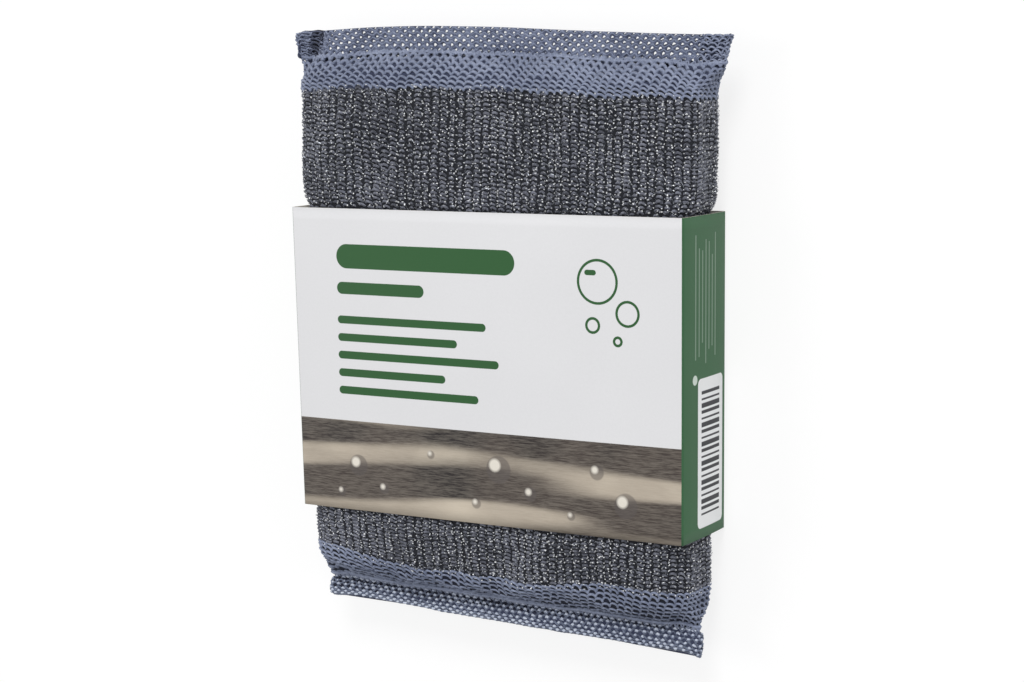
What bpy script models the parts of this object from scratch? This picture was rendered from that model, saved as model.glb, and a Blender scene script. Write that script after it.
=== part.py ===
"""A foam-cored knitted scouring pad in its folded card sleeve.

The pad lies on its back. +X runs across it, +Y runs from the curled welt to the
flared welt, and +Z is its thickness. The origin is at the middle of its footprint.
"""
import math

import bmesh
import bpy
import numpy as np
from mathutils import Vector

# The lengths along +Y, from the curled welt to the flared one
BOTTOM_WELT_REACH = 0.00525
BOTTOM_BAND_LENGTH = 0.0075
BOTTOM_WIRE_LENGTH = 0.01205
SLEEVE_LENGTH = 0.065
TOP_WIRE_LENGTH = 0.02475
TOP_BAND_LENGTH = 0.0075
TOP_WELT_REACH = 0.00525

# The card sleeve
SLEEVE_WIDTH = 0.092
SLEEVE_THICKNESS = 0.020
CARD_THICKNESS = 0.00035
FOLD_RADIUS = 0.0006
FOLD_STEPS = 3
BACK_PANEL_STOP = 0.004
GLUE_FLAP_WIDTH = 0.016
PRINTED_STRIP_HEIGHT = 0.0195

# The knitted cover
COVER_WALL = 0.0016
SEAM_THICKNESS = 0.0023
SEAM_SLIT = 0.0003
WALE_PITCH = 0.0021
COURSE_PITCH = 0.0019
RIB_HEIGHT = 0.0006
INNER_POINTS = 40
SIDE_BULGE = 0.0025
SWELL_RUN = 0.006
EAR_REACH = 0.0039
CORNER_TUCK = 0.0024
END_SLIMMING = 0.0012
TOP_DROOP_LEFT = 0.0005
TOP_DROOP_RIGHT = 0.0026
BOTTOM_RISE_LEFT = 0.0016
CURL_RADIUS = 0.008
CURL_STEPS = 3
HELD_POWER = 8.0
BODY_POWER = 5.0
WELT_POWER = 8.0
TAPER_POWER = 0.75
FLOOR_GAP = 0.0002

# The foam and the sewing thread
CLEARANCE = 0.0003
THREAD_RADIUS = 0.0003
STITCH_LENGTH = 0.0034
STITCH_RISE = 0.0002
THREAD_SETBACK = 0.0008

# How finely outlines are measured, and the share of points that goes to their corners
FINE_POINTS = 4000
CORNER_SHARE = 0.35

# The levels along +Y that follow from the lengths
LENGTH = (BOTTOM_WELT_REACH + BOTTOM_BAND_LENGTH + BOTTOM_WIRE_LENGTH + SLEEVE_LENGTH
          + TOP_WIRE_LENGTH + TOP_BAND_LENGTH + TOP_WELT_REACH)
BOTTOM_SEAM_Y = -LENGTH / 2 + BOTTOM_WELT_REACH
BOTTOM_WIRE_Y = BOTTOM_SEAM_Y + BOTTOM_BAND_LENGTH
SLEEVE_BOTTOM_Y = BOTTOM_WIRE_Y + BOTTOM_WIRE_LENGTH
SLEEVE_TOP_Y = SLEEVE_BOTTOM_Y + SLEEVE_LENGTH
TOP_WIRE_Y = SLEEVE_TOP_Y + TOP_WIRE_LENGTH
TOP_SEAM_Y = TOP_WIRE_Y + TOP_BAND_LENGTH

# The pad's half sizes where the sleeve holds it, and where it swells past the sleeve
HELD_BACK_Z = 2 * CARD_THICKNESS + CLEARANCE
HELD_FRONT_Z = SLEEVE_THICKNESS - CARD_THICKNESS - CLEARANCE
HELD_HALF_WIDTH = SLEEVE_WIDTH / 2 - CARD_THICKNESS - CLEARANCE
HELD_HALF_THICKNESS = (HELD_FRONT_Z - HELD_BACK_Z) / 2
HELD_CENTRE_Z = (HELD_FRONT_Z + HELD_BACK_Z) / 2
MIDDLE_Z = SLEEVE_THICKNESS / 2
FREE_HALF_WIDTH = HELD_HALF_WIDTH + SIDE_BULGE
FREE_HALF_THICKNESS = MIDDLE_Z - FLOOR_GAP
SEAM_HALF_THICKNESS = SEAM_THICKNESS / 2
SLIT_HALF = SEAM_SLIT / 2
CURL_ANGLE = math.asin(BOTTOM_WELT_REACH / (CURL_RADIUS + SEAM_HALF_THICKNESS))
TOP_WELT_HALF_WIDTH = FREE_HALF_WIDTH + EAR_REACH
TOP_SEAM_HALF_WIDTH = FREE_HALF_WIDTH + EAR_REACH * 2 / 3
BOTTOM_WELT_HALF_WIDTH = FREE_HALF_WIDTH - CORNER_TUCK


def srgb(red, green, blue):
    """A linear colour from the usual 0 to 255 values."""
    def linear(value):
        share = value / 255
        if share <= 0.04045:
            return share / 12.92
        return ((share + 0.055) / 1.055) ** 2.4
    return (linear(red), linear(green), linear(blue), 1.0)


def make_material(name, colour, roughness, metallic=0.0):
    material = bpy.data.materials.new(name)
    material.use_nodes = True
    material.diffuse_color = colour
    shader = material.node_tree.nodes["Principled BSDF"]
    shader.inputs["Base Color"].default_value = colour
    shader.inputs["Roughness"].default_value = roughness
    shader.inputs["Metallic"].default_value = metallic
    return material


def add_object(name, data, materials, collection):
    made = bpy.data.objects.new(name, data)
    for material in materials:
        data.materials.append(material)
    collection.objects.link(made)
    return made


def mesh_from(name, bm):
    bmesh.ops.recalc_face_normals(bm, faces=bm.faces[:])
    mesh = bpy.data.meshes.new(name)
    bm.to_mesh(mesh)
    bm.free()
    return mesh


class Station:
    """One cross-section of the pad, square to its run along Y."""

    def __init__(self, y, half_width, half_thickness, centre_z=MIDDLE_Z,
                 power=BODY_POWER, tilt=0.0, pull=0.0, knit="ribs"):
        self.y = y
        self.half_width = half_width
        self.half_thickness = half_thickness
        self.centre_z = centre_z
        self.power = power
        self.tilt = tilt
        self.pull = pull
        self.knit = knit

    def outline(self, inset, count, corner_share=0.0):
        """Points (across, through) round the section and their normals (across, through).

        The points are evenly spaced, apart from a share of them that follows the turns.
        """
        half_width = self.half_width - inset
        half_thickness = max(self.half_thickness - inset, SLIT_HALF)
        turn = np.linspace(0, 2 * math.pi, FINE_POINTS + 1)
        sine, cosine = np.sin(turn), np.cos(turn)
        across = half_width * np.sign(sine) * np.abs(sine) ** (2 / self.power)
        through = half_thickness * np.sign(cosine) * np.abs(cosine) ** (2 / self.power)
        steps = np.hypot(np.diff(across), np.diff(through))
        run = np.concatenate([[0.0], np.cumsum(steps)])
        slope_x = np.sign(sine) * np.abs(across / half_width) ** (self.power - 1)
        slope_t = np.sign(cosine) * np.abs(through / half_thickness) ** (self.power - 1)
        heading = np.unwrap(np.arctan2(slope_x / half_width, slope_t / half_thickness))
        measure = (1 - corner_share) * run / run[-1] + corner_share * heading / (2 * math.pi)
        places = np.arange(count) / count
        heading = np.interp(places, measure, heading)
        return (np.interp(places, measure, across), np.interp(places, measure, through),
                np.sin(heading), np.cos(heading))

    def girth(self):
        across, through, _, _ = self.outline(0.0, FINE_POINTS)
        return np.hypot(np.diff(across), np.diff(through)).sum()

    def skew(self, across):
        """How far the uneven ends of the tube leave a straight line across the pad."""
        side = across / self.half_width
        if self.pull > 0:
            droop = TOP_DROOP_RIGHT if side > 0 else TOP_DROOP_LEFT
            return -self.pull * droop * side ** 2
        return -self.pull * BOTTOM_RISE_LEFT * (1 - side) / 2

    def place(self, across, through):
        """A point in space from its place in the tilted cross-section."""
        return Vector((across,
                       self.y + self.skew(across) + through * math.sin(self.tilt),
                       self.centre_z + through * math.cos(self.tilt)))


def bare_wire_stations(edge_y, wire_y):
    """The wire knit between the sleeve's edge, where it swells out, and the plain band."""
    length = abs(wire_y - edge_y)
    side = math.copysign(1.0, wire_y - edge_y)
    swell_run = min(SWELL_RUN, length / 2)
    stations = []
    for run in (swell_run / 4, swell_run, (swell_run + length) / 2, length):
        out = math.sin(min(run / swell_run, 1.0) * math.pi / 2)
        slim = END_SLIMMING * max(run - swell_run, 0.0) / (length - swell_run)
        stations.append(Station(
            edge_y + side * run,
            HELD_HALF_WIDTH + SIDE_BULGE * out - slim / 2,
            HELD_HALF_THICKNESS + (FREE_HALF_THICKNESS - HELD_HALF_THICKNESS) * out - slim,
            HELD_CENTRE_Z + (MIDDLE_Z - HELD_CENTRE_Z) * out,
            HELD_POWER + (BODY_POWER - HELD_POWER) * out,
            pull=side * run / length))
    return stations


def band_stations(wire_station, seam_y, seam_half_width, courses):
    """The plain knit, which tapers from the wire knit down to the seam."""
    stations = []
    for course in range(1, courses):
        share = course / courses
        taper = math.cos(share * math.pi / 2) ** TAPER_POWER
        stations.append(Station(
            wire_station.y + share * (seam_y - wire_station.y),
            wire_station.half_width + share ** 2 * (seam_half_width - wire_station.half_width),
            SEAM_HALF_THICKNESS + taper * (wire_station.half_thickness - SEAM_HALF_THICKNESS),
            pull=wire_station.pull, knit="crossed"))
    return stations


def top_welt_station(half_width, run):
    """A place on the straight welt, a run past the top seam."""
    return Station(TOP_SEAM_Y + run, half_width, SEAM_HALF_THICKNESS,
                   power=WELT_POWER, pull=1.0, knit="plain")


def bottom_welt_station(run):
    """A place on the welt that curls to the front, a run past the bottom seam."""
    tilt = run / CURL_RADIUS
    return Station(BOTTOM_SEAM_Y - CURL_RADIUS * math.sin(tilt), BOTTOM_WELT_HALF_WIDTH,
                   SEAM_HALF_THICKNESS, MIDDLE_Z + CURL_RADIUS * (1 - math.cos(tilt)),
                   WELT_POWER, tilt, -1.0, "plain")


def pad_stations():
    """Every cross-section of the cover, from the curled welt to the flared one."""
    bottom_wire = bare_wire_stations(SLEEVE_BOTTOM_Y, BOTTOM_WIRE_Y)
    top_wire = bare_wire_stations(SLEEVE_TOP_Y, TOP_WIRE_Y)
    bottom_courses = round(BOTTOM_BAND_LENGTH / COURSE_PITCH)
    top_courses = round(TOP_BAND_LENGTH / COURSE_PITCH)
    curl = [bottom_welt_station(CURL_RADIUS * CURL_ANGLE * step / CURL_STEPS)
            for step in range(CURL_STEPS + 1)]
    bottom_band = band_stations(bottom_wire[-1], BOTTOM_SEAM_Y,
                                BOTTOM_WELT_HALF_WIDTH, bottom_courses)
    held = [Station(y, HELD_HALF_WIDTH, HELD_HALF_THICKNESS, HELD_CENTRE_Z, HELD_POWER)
            for y in (SLEEVE_BOTTOM_Y, SLEEVE_TOP_Y)]
    top_band = band_stations(top_wire[-1], TOP_SEAM_Y, TOP_SEAM_HALF_WIDTH, top_courses)
    flare = [top_welt_station(TOP_SEAM_HALF_WIDTH, 0.0),
             top_welt_station(TOP_WELT_HALF_WIDTH, TOP_WELT_REACH)]
    return (curl[::-1] + bottom_band[::-1] + bottom_wire[::-1] + held
            + top_wire + top_band + flare)


def wale_count(stations):
    """An even number of wales that suits the tube's girth."""
    widest = max(stations, key=lambda station: station.half_thickness)
    return 2 * round(widest.girth() / WALE_PITCH / 2)


def add_loop(bm, points):
    return [bm.verts.new(point) for point in points]


def loft(bm, first, second):
    """The faces between two loops that start together, whatever their counts."""
    faces = []
    i = j = 0
    while i < len(first) or j < len(second):
        lead = (j + 1) * len(first) - (i + 1) * len(second)
        corners = [first[i % len(first)], second[j % len(second)]]
        if lead <= 0:
            j += 1
            corners.append(second[j % len(second)])
        if lead >= 0:
            i += 1
            corners.append(first[i % len(first)])
        faces.append(bm.faces.new(corners))
    return faces


def outer_loop(bm, station, row, wales):
    """The outside of the cover: upright ribs, or bumps that alternate in each course."""
    count = wales if station.knit == "plain" else 2 * wales
    across, through, normal_x, normal_t = station.outline(0.0, count)
    phase = row if station.knit == "crossed" else 0
    points = []
    for i in range(count):
        low = station.knit != "plain" and (i + phase) % 2 == 1
        depth = RIB_HEIGHT if low else 0.0
        points.append(station.place(across[i] - depth * normal_x[i],
                                    through[i] - depth * normal_t[i]))
    return add_loop(bm, points)


def inner_loop(bm, station):
    across, through, _, _ = station.outline(COVER_WALL, INNER_POINTS, CORNER_SHARE)
    return add_loop(bm, [station.place(x, t) for x, t in zip(across, through)])


def build_cover(collection, wire_knit, plain_knit):
    """One knitted tube, outside and inside, open at the slit in each welt."""
    stations = pad_stations()
    wales = wale_count(stations)
    bm = bmesh.new()
    outside = [outer_loop(bm, station, row, wales) for row, station in enumerate(stations)]
    inside = [inner_loop(bm, station) for station in stations]
    for row in range(len(stations) - 1):
        ribbed = stations[row].knit == "ribs" and stations[row + 1].knit == "ribs"
        for face in loft(bm, outside[row], outside[row + 1]):
            face.material_index = 0 if ribbed else 1
        loft(bm, inside[row], inside[row + 1])
    for end in (0, -1):
        for face in loft(bm, outside[end], inside[end]):
            face.material_index = 1
    mesh = mesh_from("knit_cover", bm)
    return add_object("knit_cover", mesh, [wire_knit, plain_knit], collection)


def build_foam(collection, foam):
    """The foam slab, which fills the cover as far as it is thick enough to."""
    inset = COVER_WALL + CLEARANCE
    stations = [station for station in pad_stations() if station.knit != "plain"]
    bm = bmesh.new()
    loops = []
    for station in stations:
        across, through, _, _ = station.outline(inset, INNER_POINTS, CORNER_SHARE)
        loops.append(add_loop(bm, [station.place(x, t) for x, t in zip(across, through)]))
    for row in range(len(loops) - 1):
        loft(bm, loops[row], loops[row + 1])
    for end in (0, -1):
        bm.faces.new(loops[end])
    mesh = mesh_from("foam_core", bm)
    return add_object("foam_core", mesh, [foam], collection)


def build_thread(name, station, collection, yarn):
    """The stitches that close one end, a single thread round the flattened tube."""
    count = 2 * round(station.girth() / (1 - CORNER_SHARE) / STITCH_LENGTH / 2)
    across, through, normal_x, normal_t = station.outline(0.0, count, CORNER_SHARE)
    curve = bpy.data.curves.new(name, "CURVE")
    curve.dimensions = "3D"
    curve.bevel_depth = THREAD_RADIUS
    curve.bevel_resolution = 0
    spline = curve.splines.new("POLY")
    spline.points.add(count - 1)
    spline.use_cyclic_u = True
    for i in range(count):
        lift = CLEARANCE + THREAD_RADIUS + STITCH_RISE * (i % 2)
        point = station.place(across[i] + lift * normal_x[i], through[i] + lift * normal_t[i])
        spline.points[i].co = (*point, 1.0)
    return add_object(name, curve, [yarn], collection)


def fold(centre_x, centre_z, radius, start_degrees):
    """The points of one folded corner, turning left."""
    angles = np.radians(start_degrees + np.linspace(0, 90, FOLD_STEPS + 1))
    return [(centre_x + radius * math.cos(angle), centre_z + radius * math.sin(angle))
            for angle in angles]


def sleeve_outline(radius, wall):
    """The outside (wall 0) or the inside of the card, with its back panel glued over."""
    half = SLEEVE_WIDTH / 2
    side = half - FOLD_RADIUS
    high = SLEEVE_THICKNESS - FOLD_RADIUS
    stop_x = -half + BACK_PANEL_STOP
    flap_x = -half + GLUE_FLAP_WIDTH
    if wall:
        overlap = [(stop_x - wall, 2 * wall), (stop_x, 2 * wall), (flap_x, 2 * wall), (flap_x, wall)]
    else:
        overlap = [(stop_x, CARD_THICKNESS), (stop_x, 0.0), (flap_x, 0.0),
                   (flap_x + CARD_THICKNESS, 0.0)]
    return (overlap
            + fold(side, FOLD_RADIUS, radius, 270)
            + fold(side, high, radius, 0)
            + fold(-side, high, radius, 90)
            + fold(-side, CARD_THICKNESS + FOLD_RADIUS, radius, 180))


def sleeve_finish(face):
    """The field of print that a face of the sleeve shows."""
    centre = face.calc_center_median()
    normal = face.normal
    outside = Vector((centre.x, 0.0, centre.z - MIDDLE_Z)).dot(normal) > 0
    if not outside or abs(normal.y) > 0.5:
        return 3
    if normal.z > 0.9:
        return 1 if centre.y < SLEEVE_BOTTOM_Y + PRINTED_STRIP_HEIGHT else 0
    return 2


def build_sleeve(collection, materials):
    """One strip of card, folded round the pad and glued to itself at the back."""
    bm = bmesh.new()
    loops = []
    for radius, wall in ((FOLD_RADIUS, 0.0), (FOLD_RADIUS - CARD_THICKNESS, CARD_THICKNESS)):
        loops.append(add_loop(bm, [Vector((x, SLEEVE_BOTTOM_Y, z))
                                   for x, z in sleeve_outline(radius, wall)]))
    edge = loft(bm, loops[0], loops[1])
    grown = bmesh.ops.extrude_face_region(bm, geom=edge, use_keep_orig=True)
    moved = [item for item in grown["geom"] if isinstance(item, bmesh.types.BMVert)]
    bmesh.ops.translate(bm, verts=moved, vec=(0.0, SLEEVE_LENGTH, 0.0))
    bmesh.ops.bisect_plane(bm, geom=bm.verts[:] + bm.edges[:] + bm.faces[:],
                           plane_co=(0.0, SLEEVE_BOTTOM_Y + PRINTED_STRIP_HEIGHT, 0.0),
                           plane_no=(0.0, 1.0, 0.0))
    bmesh.ops.recalc_face_normals(bm, faces=bm.faces[:])
    for face in bm.faces:
        face.material_index = sleeve_finish(face)
    mesh = mesh_from("card_sleeve", bm)
    return add_object("card_sleeve", mesh, materials, collection)


def main():
    for item in list(bpy.data.objects):
        bpy.data.objects.remove(item, do_unlink=True)
    pad = bpy.data.collections.new("scouring_pad")
    bpy.context.scene.collection.children.link(pad)

    wire_knit = make_material("wire_knit", srgb(84, 87, 96), 0.45, 0.5)
    plain_knit = make_material("plain_knit", srgb(111, 119, 139), 0.8)
    yarn = make_material("seam_yarn", srgb(96, 104, 126), 0.8)
    foam = make_material("foam", srgb(224, 214, 178), 0.95)
    card = [make_material("card_white", srgb(226, 226, 227), 0.5),
            make_material("card_strip", srgb(139, 129, 118), 0.45),
            make_material("card_green", srgb(67, 103, 74), 0.5),
            make_material("card_bare", srgb(214, 210, 202), 0.9)]

    build_foam(pad, foam)
    build_cover(pad, wire_knit, plain_knit)
    top = top_welt_station(TOP_SEAM_HALF_WIDTH, THREAD_SETBACK)
    build_thread("top_seam_thread", top, pad, yarn)
    bottom = bottom_welt_station(THREAD_SETBACK)
    build_thread("bottom_seam_thread", bottom, pad, yarn)
    build_sleeve(pad, card)


main()
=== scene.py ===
# %% [markdown]
# # A knitted scouring pad in a card sleeve
# The object is a slab of foam inside a knitted tube. The tube is plain yarn at both ends
# and yarn with a stainless wire in the middle, and a folded strip of printed card holds it.
# This lesson loads the solids of the part as a fixed frame, and then knits, folds and
# prints what a buyer sees around them. Lengths are in metres and Z is up, so the pad lies
# on its back and the camera looks down on it.

# %% Load the frame
import math

import bmesh
import bpy
import numpy as np
from mathutils import Matrix, Vector, noise


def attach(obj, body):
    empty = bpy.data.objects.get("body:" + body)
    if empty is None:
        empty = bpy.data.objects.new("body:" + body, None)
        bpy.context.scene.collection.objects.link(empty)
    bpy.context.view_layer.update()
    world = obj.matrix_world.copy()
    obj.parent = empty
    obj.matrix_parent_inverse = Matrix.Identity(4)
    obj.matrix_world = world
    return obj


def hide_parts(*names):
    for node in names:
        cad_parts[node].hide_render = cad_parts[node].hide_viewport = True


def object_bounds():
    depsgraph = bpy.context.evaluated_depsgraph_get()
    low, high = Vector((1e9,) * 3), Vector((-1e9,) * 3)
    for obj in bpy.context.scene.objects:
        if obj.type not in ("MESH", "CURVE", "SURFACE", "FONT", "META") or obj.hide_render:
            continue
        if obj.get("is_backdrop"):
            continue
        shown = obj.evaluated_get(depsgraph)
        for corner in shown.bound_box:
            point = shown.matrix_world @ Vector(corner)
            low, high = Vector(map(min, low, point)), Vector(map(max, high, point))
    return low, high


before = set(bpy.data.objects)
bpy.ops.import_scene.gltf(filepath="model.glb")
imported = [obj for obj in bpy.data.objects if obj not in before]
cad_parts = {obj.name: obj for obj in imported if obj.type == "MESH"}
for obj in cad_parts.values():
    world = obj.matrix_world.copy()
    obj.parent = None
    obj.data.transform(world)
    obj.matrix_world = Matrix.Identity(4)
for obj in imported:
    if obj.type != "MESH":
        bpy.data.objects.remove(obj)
cad_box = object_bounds()
print("solids:", sorted(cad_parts))
print("box:", [round(side, 4) for side in cad_box[1] - cad_box[0]])

# %% [markdown]
# ## The camera
# A camera is placed by its location and three directions: right, up and backwards. They
# come from a fit to the corners of the sleeve. A long lens keeps the edges of the pad
# nearly parallel, as product pictures do.

# %% Place the camera
CAMERA_LOCATION = (0.2298, 0.05845, 0.3986)
CAMERA_RIGHT = (0.8633, -0.0143, -0.5045)
CAMERA_UP = (-0.0543, 0.9912, -0.1211)
CAMERA_BACK = (0.5018, 0.1319, 0.8549)
LENS = 76.22

camera_data = bpy.data.cameras.new("product_camera")
camera_data.lens = LENS
camera_data.sensor_width = 36.0
camera_data.clip_start = 0.01
camera_data.clip_end = 10.0
camera = bpy.data.objects.new("product_camera", camera_data)
camera_axes = Matrix((CAMERA_RIGHT, CAMERA_UP, CAMERA_BACK)).transposed()
camera.matrix_world = Matrix.Translation(CAMERA_LOCATION) @ camera_axes.to_4x4()
bpy.context.scene.collection.objects.link(camera)
bpy.context.scene.camera = camera
print("camera looks down by", round(math.degrees(math.asin(CAMERA_BACK[2])), 1), "degrees")

# %% [markdown]
# ## The sizes
# These are the sizes of the solids. The run along the pad is measured on Y from the curled
# welt at the bottom to the flared welt at the top: welt, plain band, wire knit, sleeve,
# wire knit, plain band, welt.

# %% Sizes of the pad
BOTTOM_SEAM_Y = -0.0584
BOTTOM_WIRE_Y = -0.0509
SLEEVE_BOTTOM_Y = -0.03885
SLEEVE_TOP_Y = 0.02615
TOP_WIRE_Y = 0.0509
TOP_SEAM_Y = 0.0584
WELT_REACH = 0.00525
HELD_HALF_WIDTH = 0.04535
HELD_HALF_THICKNESS = 0.009175
HELD_CENTRE_Z = 0.010175
MIDDLE_Z = 0.010
FREE_HALF_WIDTH = 0.0483
LOW_HALF_WIDTH = 0.0462
FREE_HALF_THICKNESS = 0.0098
TOP_SEAM_HALF_WIDTH = 0.05150
TOP_WELT_HALF_WIDTH = 0.05330
BOTTOM_WELT_HALF_WIDTH = 0.04580
SEAM_HALF_THICKNESS = 0.00115
SWELL_RUN = 0.0035
MOUTH_NARROWING = 0.0009
END_SLIMMING = 0.0012
HELD_POWER = 8.0
BODY_POWER = 5.0
TAPER_POWER = 0.75
OUTLINE_STEPS = 2000
MM = 0.001


def blend(start, end, share):
    return start + (end - start) * share


def smooth(value, low, high):
    """0 below low, 1 above high, and an S curve between them."""
    share = np.clip((value - low) / (high - low), 0.0, 1.0)
    return share * share * (3 - 2 * share)


# %% [markdown]
# ## The shape of the pad
# A flattened tube has a rounded rectangle as its section. A superellipse draws that with
# one number, its power: 2 is an ellipse, and 8 is nearly a rectangle. The section changes
# along the pad: it is held flat under the sleeve, swells past its edge, and tapers to two
# layers at each seam. One function gives the section at any place along the pad, so the
# cover and every row of yarn follow the same shape.

# %% The section at a place along the pad
def wire_section(run, length, side):
    """Bare wire knit, a run past the sleeve's edge."""
    free = FREE_HALF_WIDTH if side > 0 else LOW_HALF_WIDTH
    free -= MOUTH_NARROWING * (1 - run / length) if side > 0 else 0.0
    out = math.sin(min(run / SWELL_RUN, 1.0) * math.pi / 2)
    slim = END_SLIMMING * max(run - SWELL_RUN, 0.0) / (length - SWELL_RUN)
    return {
        "half_width": blend(HELD_HALF_WIDTH, free, out),
        "half_thickness": blend(HELD_HALF_THICKNESS, FREE_HALF_THICKNESS, out) - slim,
        "centre_z": blend(HELD_CENTRE_Z, MIDDLE_Z, out),
        "power": blend(HELD_POWER, BODY_POWER, out),
        "pull": side * run / length,
    }


def band_section(share, end, seam_half_width, pull):
    """Plain knit, at a share of the way from the wire knit to the seam."""
    taper = math.cos(share * math.pi / 2) ** TAPER_POWER
    return {
        "half_width": blend(end["half_width"], seam_half_width, share ** 2),
        "half_thickness": blend(SEAM_HALF_THICKNESS, end["half_thickness"], taper),
        "centre_z": MIDDLE_Z,
        "power": BODY_POWER,
        "pull": pull,
    }


TOP_WIRE_LENGTH = TOP_WIRE_Y - SLEEVE_TOP_Y
BOTTOM_WIRE_LENGTH = SLEEVE_BOTTOM_Y - BOTTOM_WIRE_Y
BAND_LENGTH = TOP_SEAM_Y - TOP_WIRE_Y


def section_at(level):
    """The section at a level, which is Y except on the curled welt."""
    if level > TOP_SEAM_Y:
        run = level - TOP_SEAM_Y
        width = blend(TOP_SEAM_HALF_WIDTH, TOP_WELT_HALF_WIDTH, run / WELT_REACH)
        return {"half_width": width, "half_thickness": SEAM_HALF_THICKNESS,
                "centre_z": MIDDLE_Z, "power": HELD_POWER, "pull": 1.0}
    if level > TOP_WIRE_Y:
        end = wire_section(TOP_WIRE_LENGTH, TOP_WIRE_LENGTH, 1.0)
        return band_section((level - TOP_WIRE_Y) / BAND_LENGTH, end, TOP_SEAM_HALF_WIDTH, 1.0)
    if level > SLEEVE_TOP_Y:
        return wire_section(level - SLEEVE_TOP_Y, TOP_WIRE_LENGTH, 1.0)
    if level > SLEEVE_BOTTOM_Y:
        return wire_section(0.0, TOP_WIRE_LENGTH, 1.0)
    if level > BOTTOM_WIRE_Y:
        return wire_section(SLEEVE_BOTTOM_Y - level, BOTTOM_WIRE_LENGTH, -1.0)
    if level > BOTTOM_SEAM_Y:
        end = wire_section(BOTTOM_WIRE_LENGTH, BOTTOM_WIRE_LENGTH, -1.0)
        return band_section((BOTTOM_WIRE_Y - level) / BAND_LENGTH, end,
                            BOTTOM_WELT_HALF_WIDTH, -1.0)
    return {"half_width": BOTTOM_WELT_HALF_WIDTH, "half_thickness": SEAM_HALF_THICKNESS,
            "centre_z": MIDDLE_Z, "power": HELD_POWER, "pull": -1.0}


def outline(section, count):
    """Points round a section, evenly spaced, from the middle of its front."""
    turn = np.linspace(0, 2 * math.pi, OUTLINE_STEPS + 1)
    sine, cosine = np.sin(turn), np.cos(turn)
    power = 2 / section["power"]
    across = section["half_width"] * np.sign(sine) * np.abs(sine) ** power
    through = section["half_thickness"] * np.sign(cosine) * np.abs(cosine) ** power
    run = np.concatenate([[0.0], np.cumsum(np.hypot(np.diff(across), np.diff(through)))])
    places = np.arange(count) / count * run[-1]
    return np.interp(places, run, across), np.interp(places, run, through)


# %% [markdown]
# ## Ears, a crease and a roll
# Sewing off the grain tilts both ends of the tube, and the flared welt ends in two ears. The
# left ear is tucked back along a crease. The bottom welt curls into a fat roll, which grows
# to the right, where it ends in a small nub. Each is a hump of one kind, a bell curve that
# fades at both sides, or an S curve between two places. A sculpted mesh could hold the same
# shapes, but a formula lets every row of yarn follow them.

# %% Bend the sections into the tube's real shape
def past_sleeve(level):
    """How far a level lies outside the sleeve. It is below 0 inside it."""
    return np.maximum(level - SLEEVE_TOP_Y, SLEEVE_BOTTOM_Y - level)


TOP_DROOP_LEFT = 0.0005
TOP_DROOP_RIGHT = 0.0026
TOP_WAVE = 0.00075
BOTTOM_RISE_LEFT = 0.0016
BOTTOM_RISE = 0.0005
LEFT_SHIFT = 0.0003
NUB_REACH = 0.0010
ROLL_HALF_HEIGHT = 0.00270
ROLL_HALF_DEPTH = 0.0020
ROLL_FORWARD = 0.0014
ROLL_ROUNDING = 0.055
ROUNDING_ON_RIGHT = 0.35
ROLL_START = math.radians(14)
ROLL_END = math.radians(174)
# Each change of the roll's size is (side, change, where it starts, where it is full)
ROLL_CHANGES = ((-1, -0.16, 0.0, 1.0), (1, 0.05, 0.4, 1.0),
                (-1, 0.10, 0.86, 0.98), (1, 0.16, 0.93, 1.0))
# A hump of an ear is (height, level, run), and a slope is (change, first level, last level)
LEFT_HUMP, RIGHT_HUMP = (0.0013, 0.0549, 0.0021), (0.0006, 0.0570, 0.0026)
LEFT_SLOPES = ((-0.0010, 0.0618, 0.0640), (-0.0005, 0.0588, 0.0610))
RIGHT_SLOPES = ((0.0002, 0.0575, 0.0610),)
EAR_POWER = 6
CREASE_START, CREASE_END = (-0.0471, 0.0630), (-0.0499, 0.0546)
CREASE_DEPTH, CREASE_WIDTH = 0.0036, 0.0019


def hump(place, middle, run):
    """1 at the middle, falling smoothly to 0 at both sides."""
    return np.exp(-((place - middle) / run) ** 2)


def line_hump(x, y, start, end, width):
    """1 on a line between two places (x, y), falling smoothly to 0 beside it."""
    line = (end[0] - start[0], end[1] - start[1])
    along = (x - start[0]) * line[0] + (y - start[1]) * line[1]
    share = np.clip(along / (line[0] ** 2 + line[1] ** 2), 0, 1)
    gap = np.hypot(x - start[0] - share * line[0], y - start[1] - share * line[1])
    return hump(gap, 0.0, width)


def ear_reach(level, peak, slopes):
    """How far one ear stands out of the plain outline, in metres."""
    height, middle, run = peak
    steps = [change * smooth(level, low, high) for change, low, high in slopes]
    return height * hump(level, middle, run) + sum(steps)


def crease(x, y):
    """How far the left ear is tucked back at a place: a groove that runs across it."""
    return CREASE_DEPTH * line_hump(x, y, CREASE_START, CREASE_END, CREASE_WIDTH)


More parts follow.
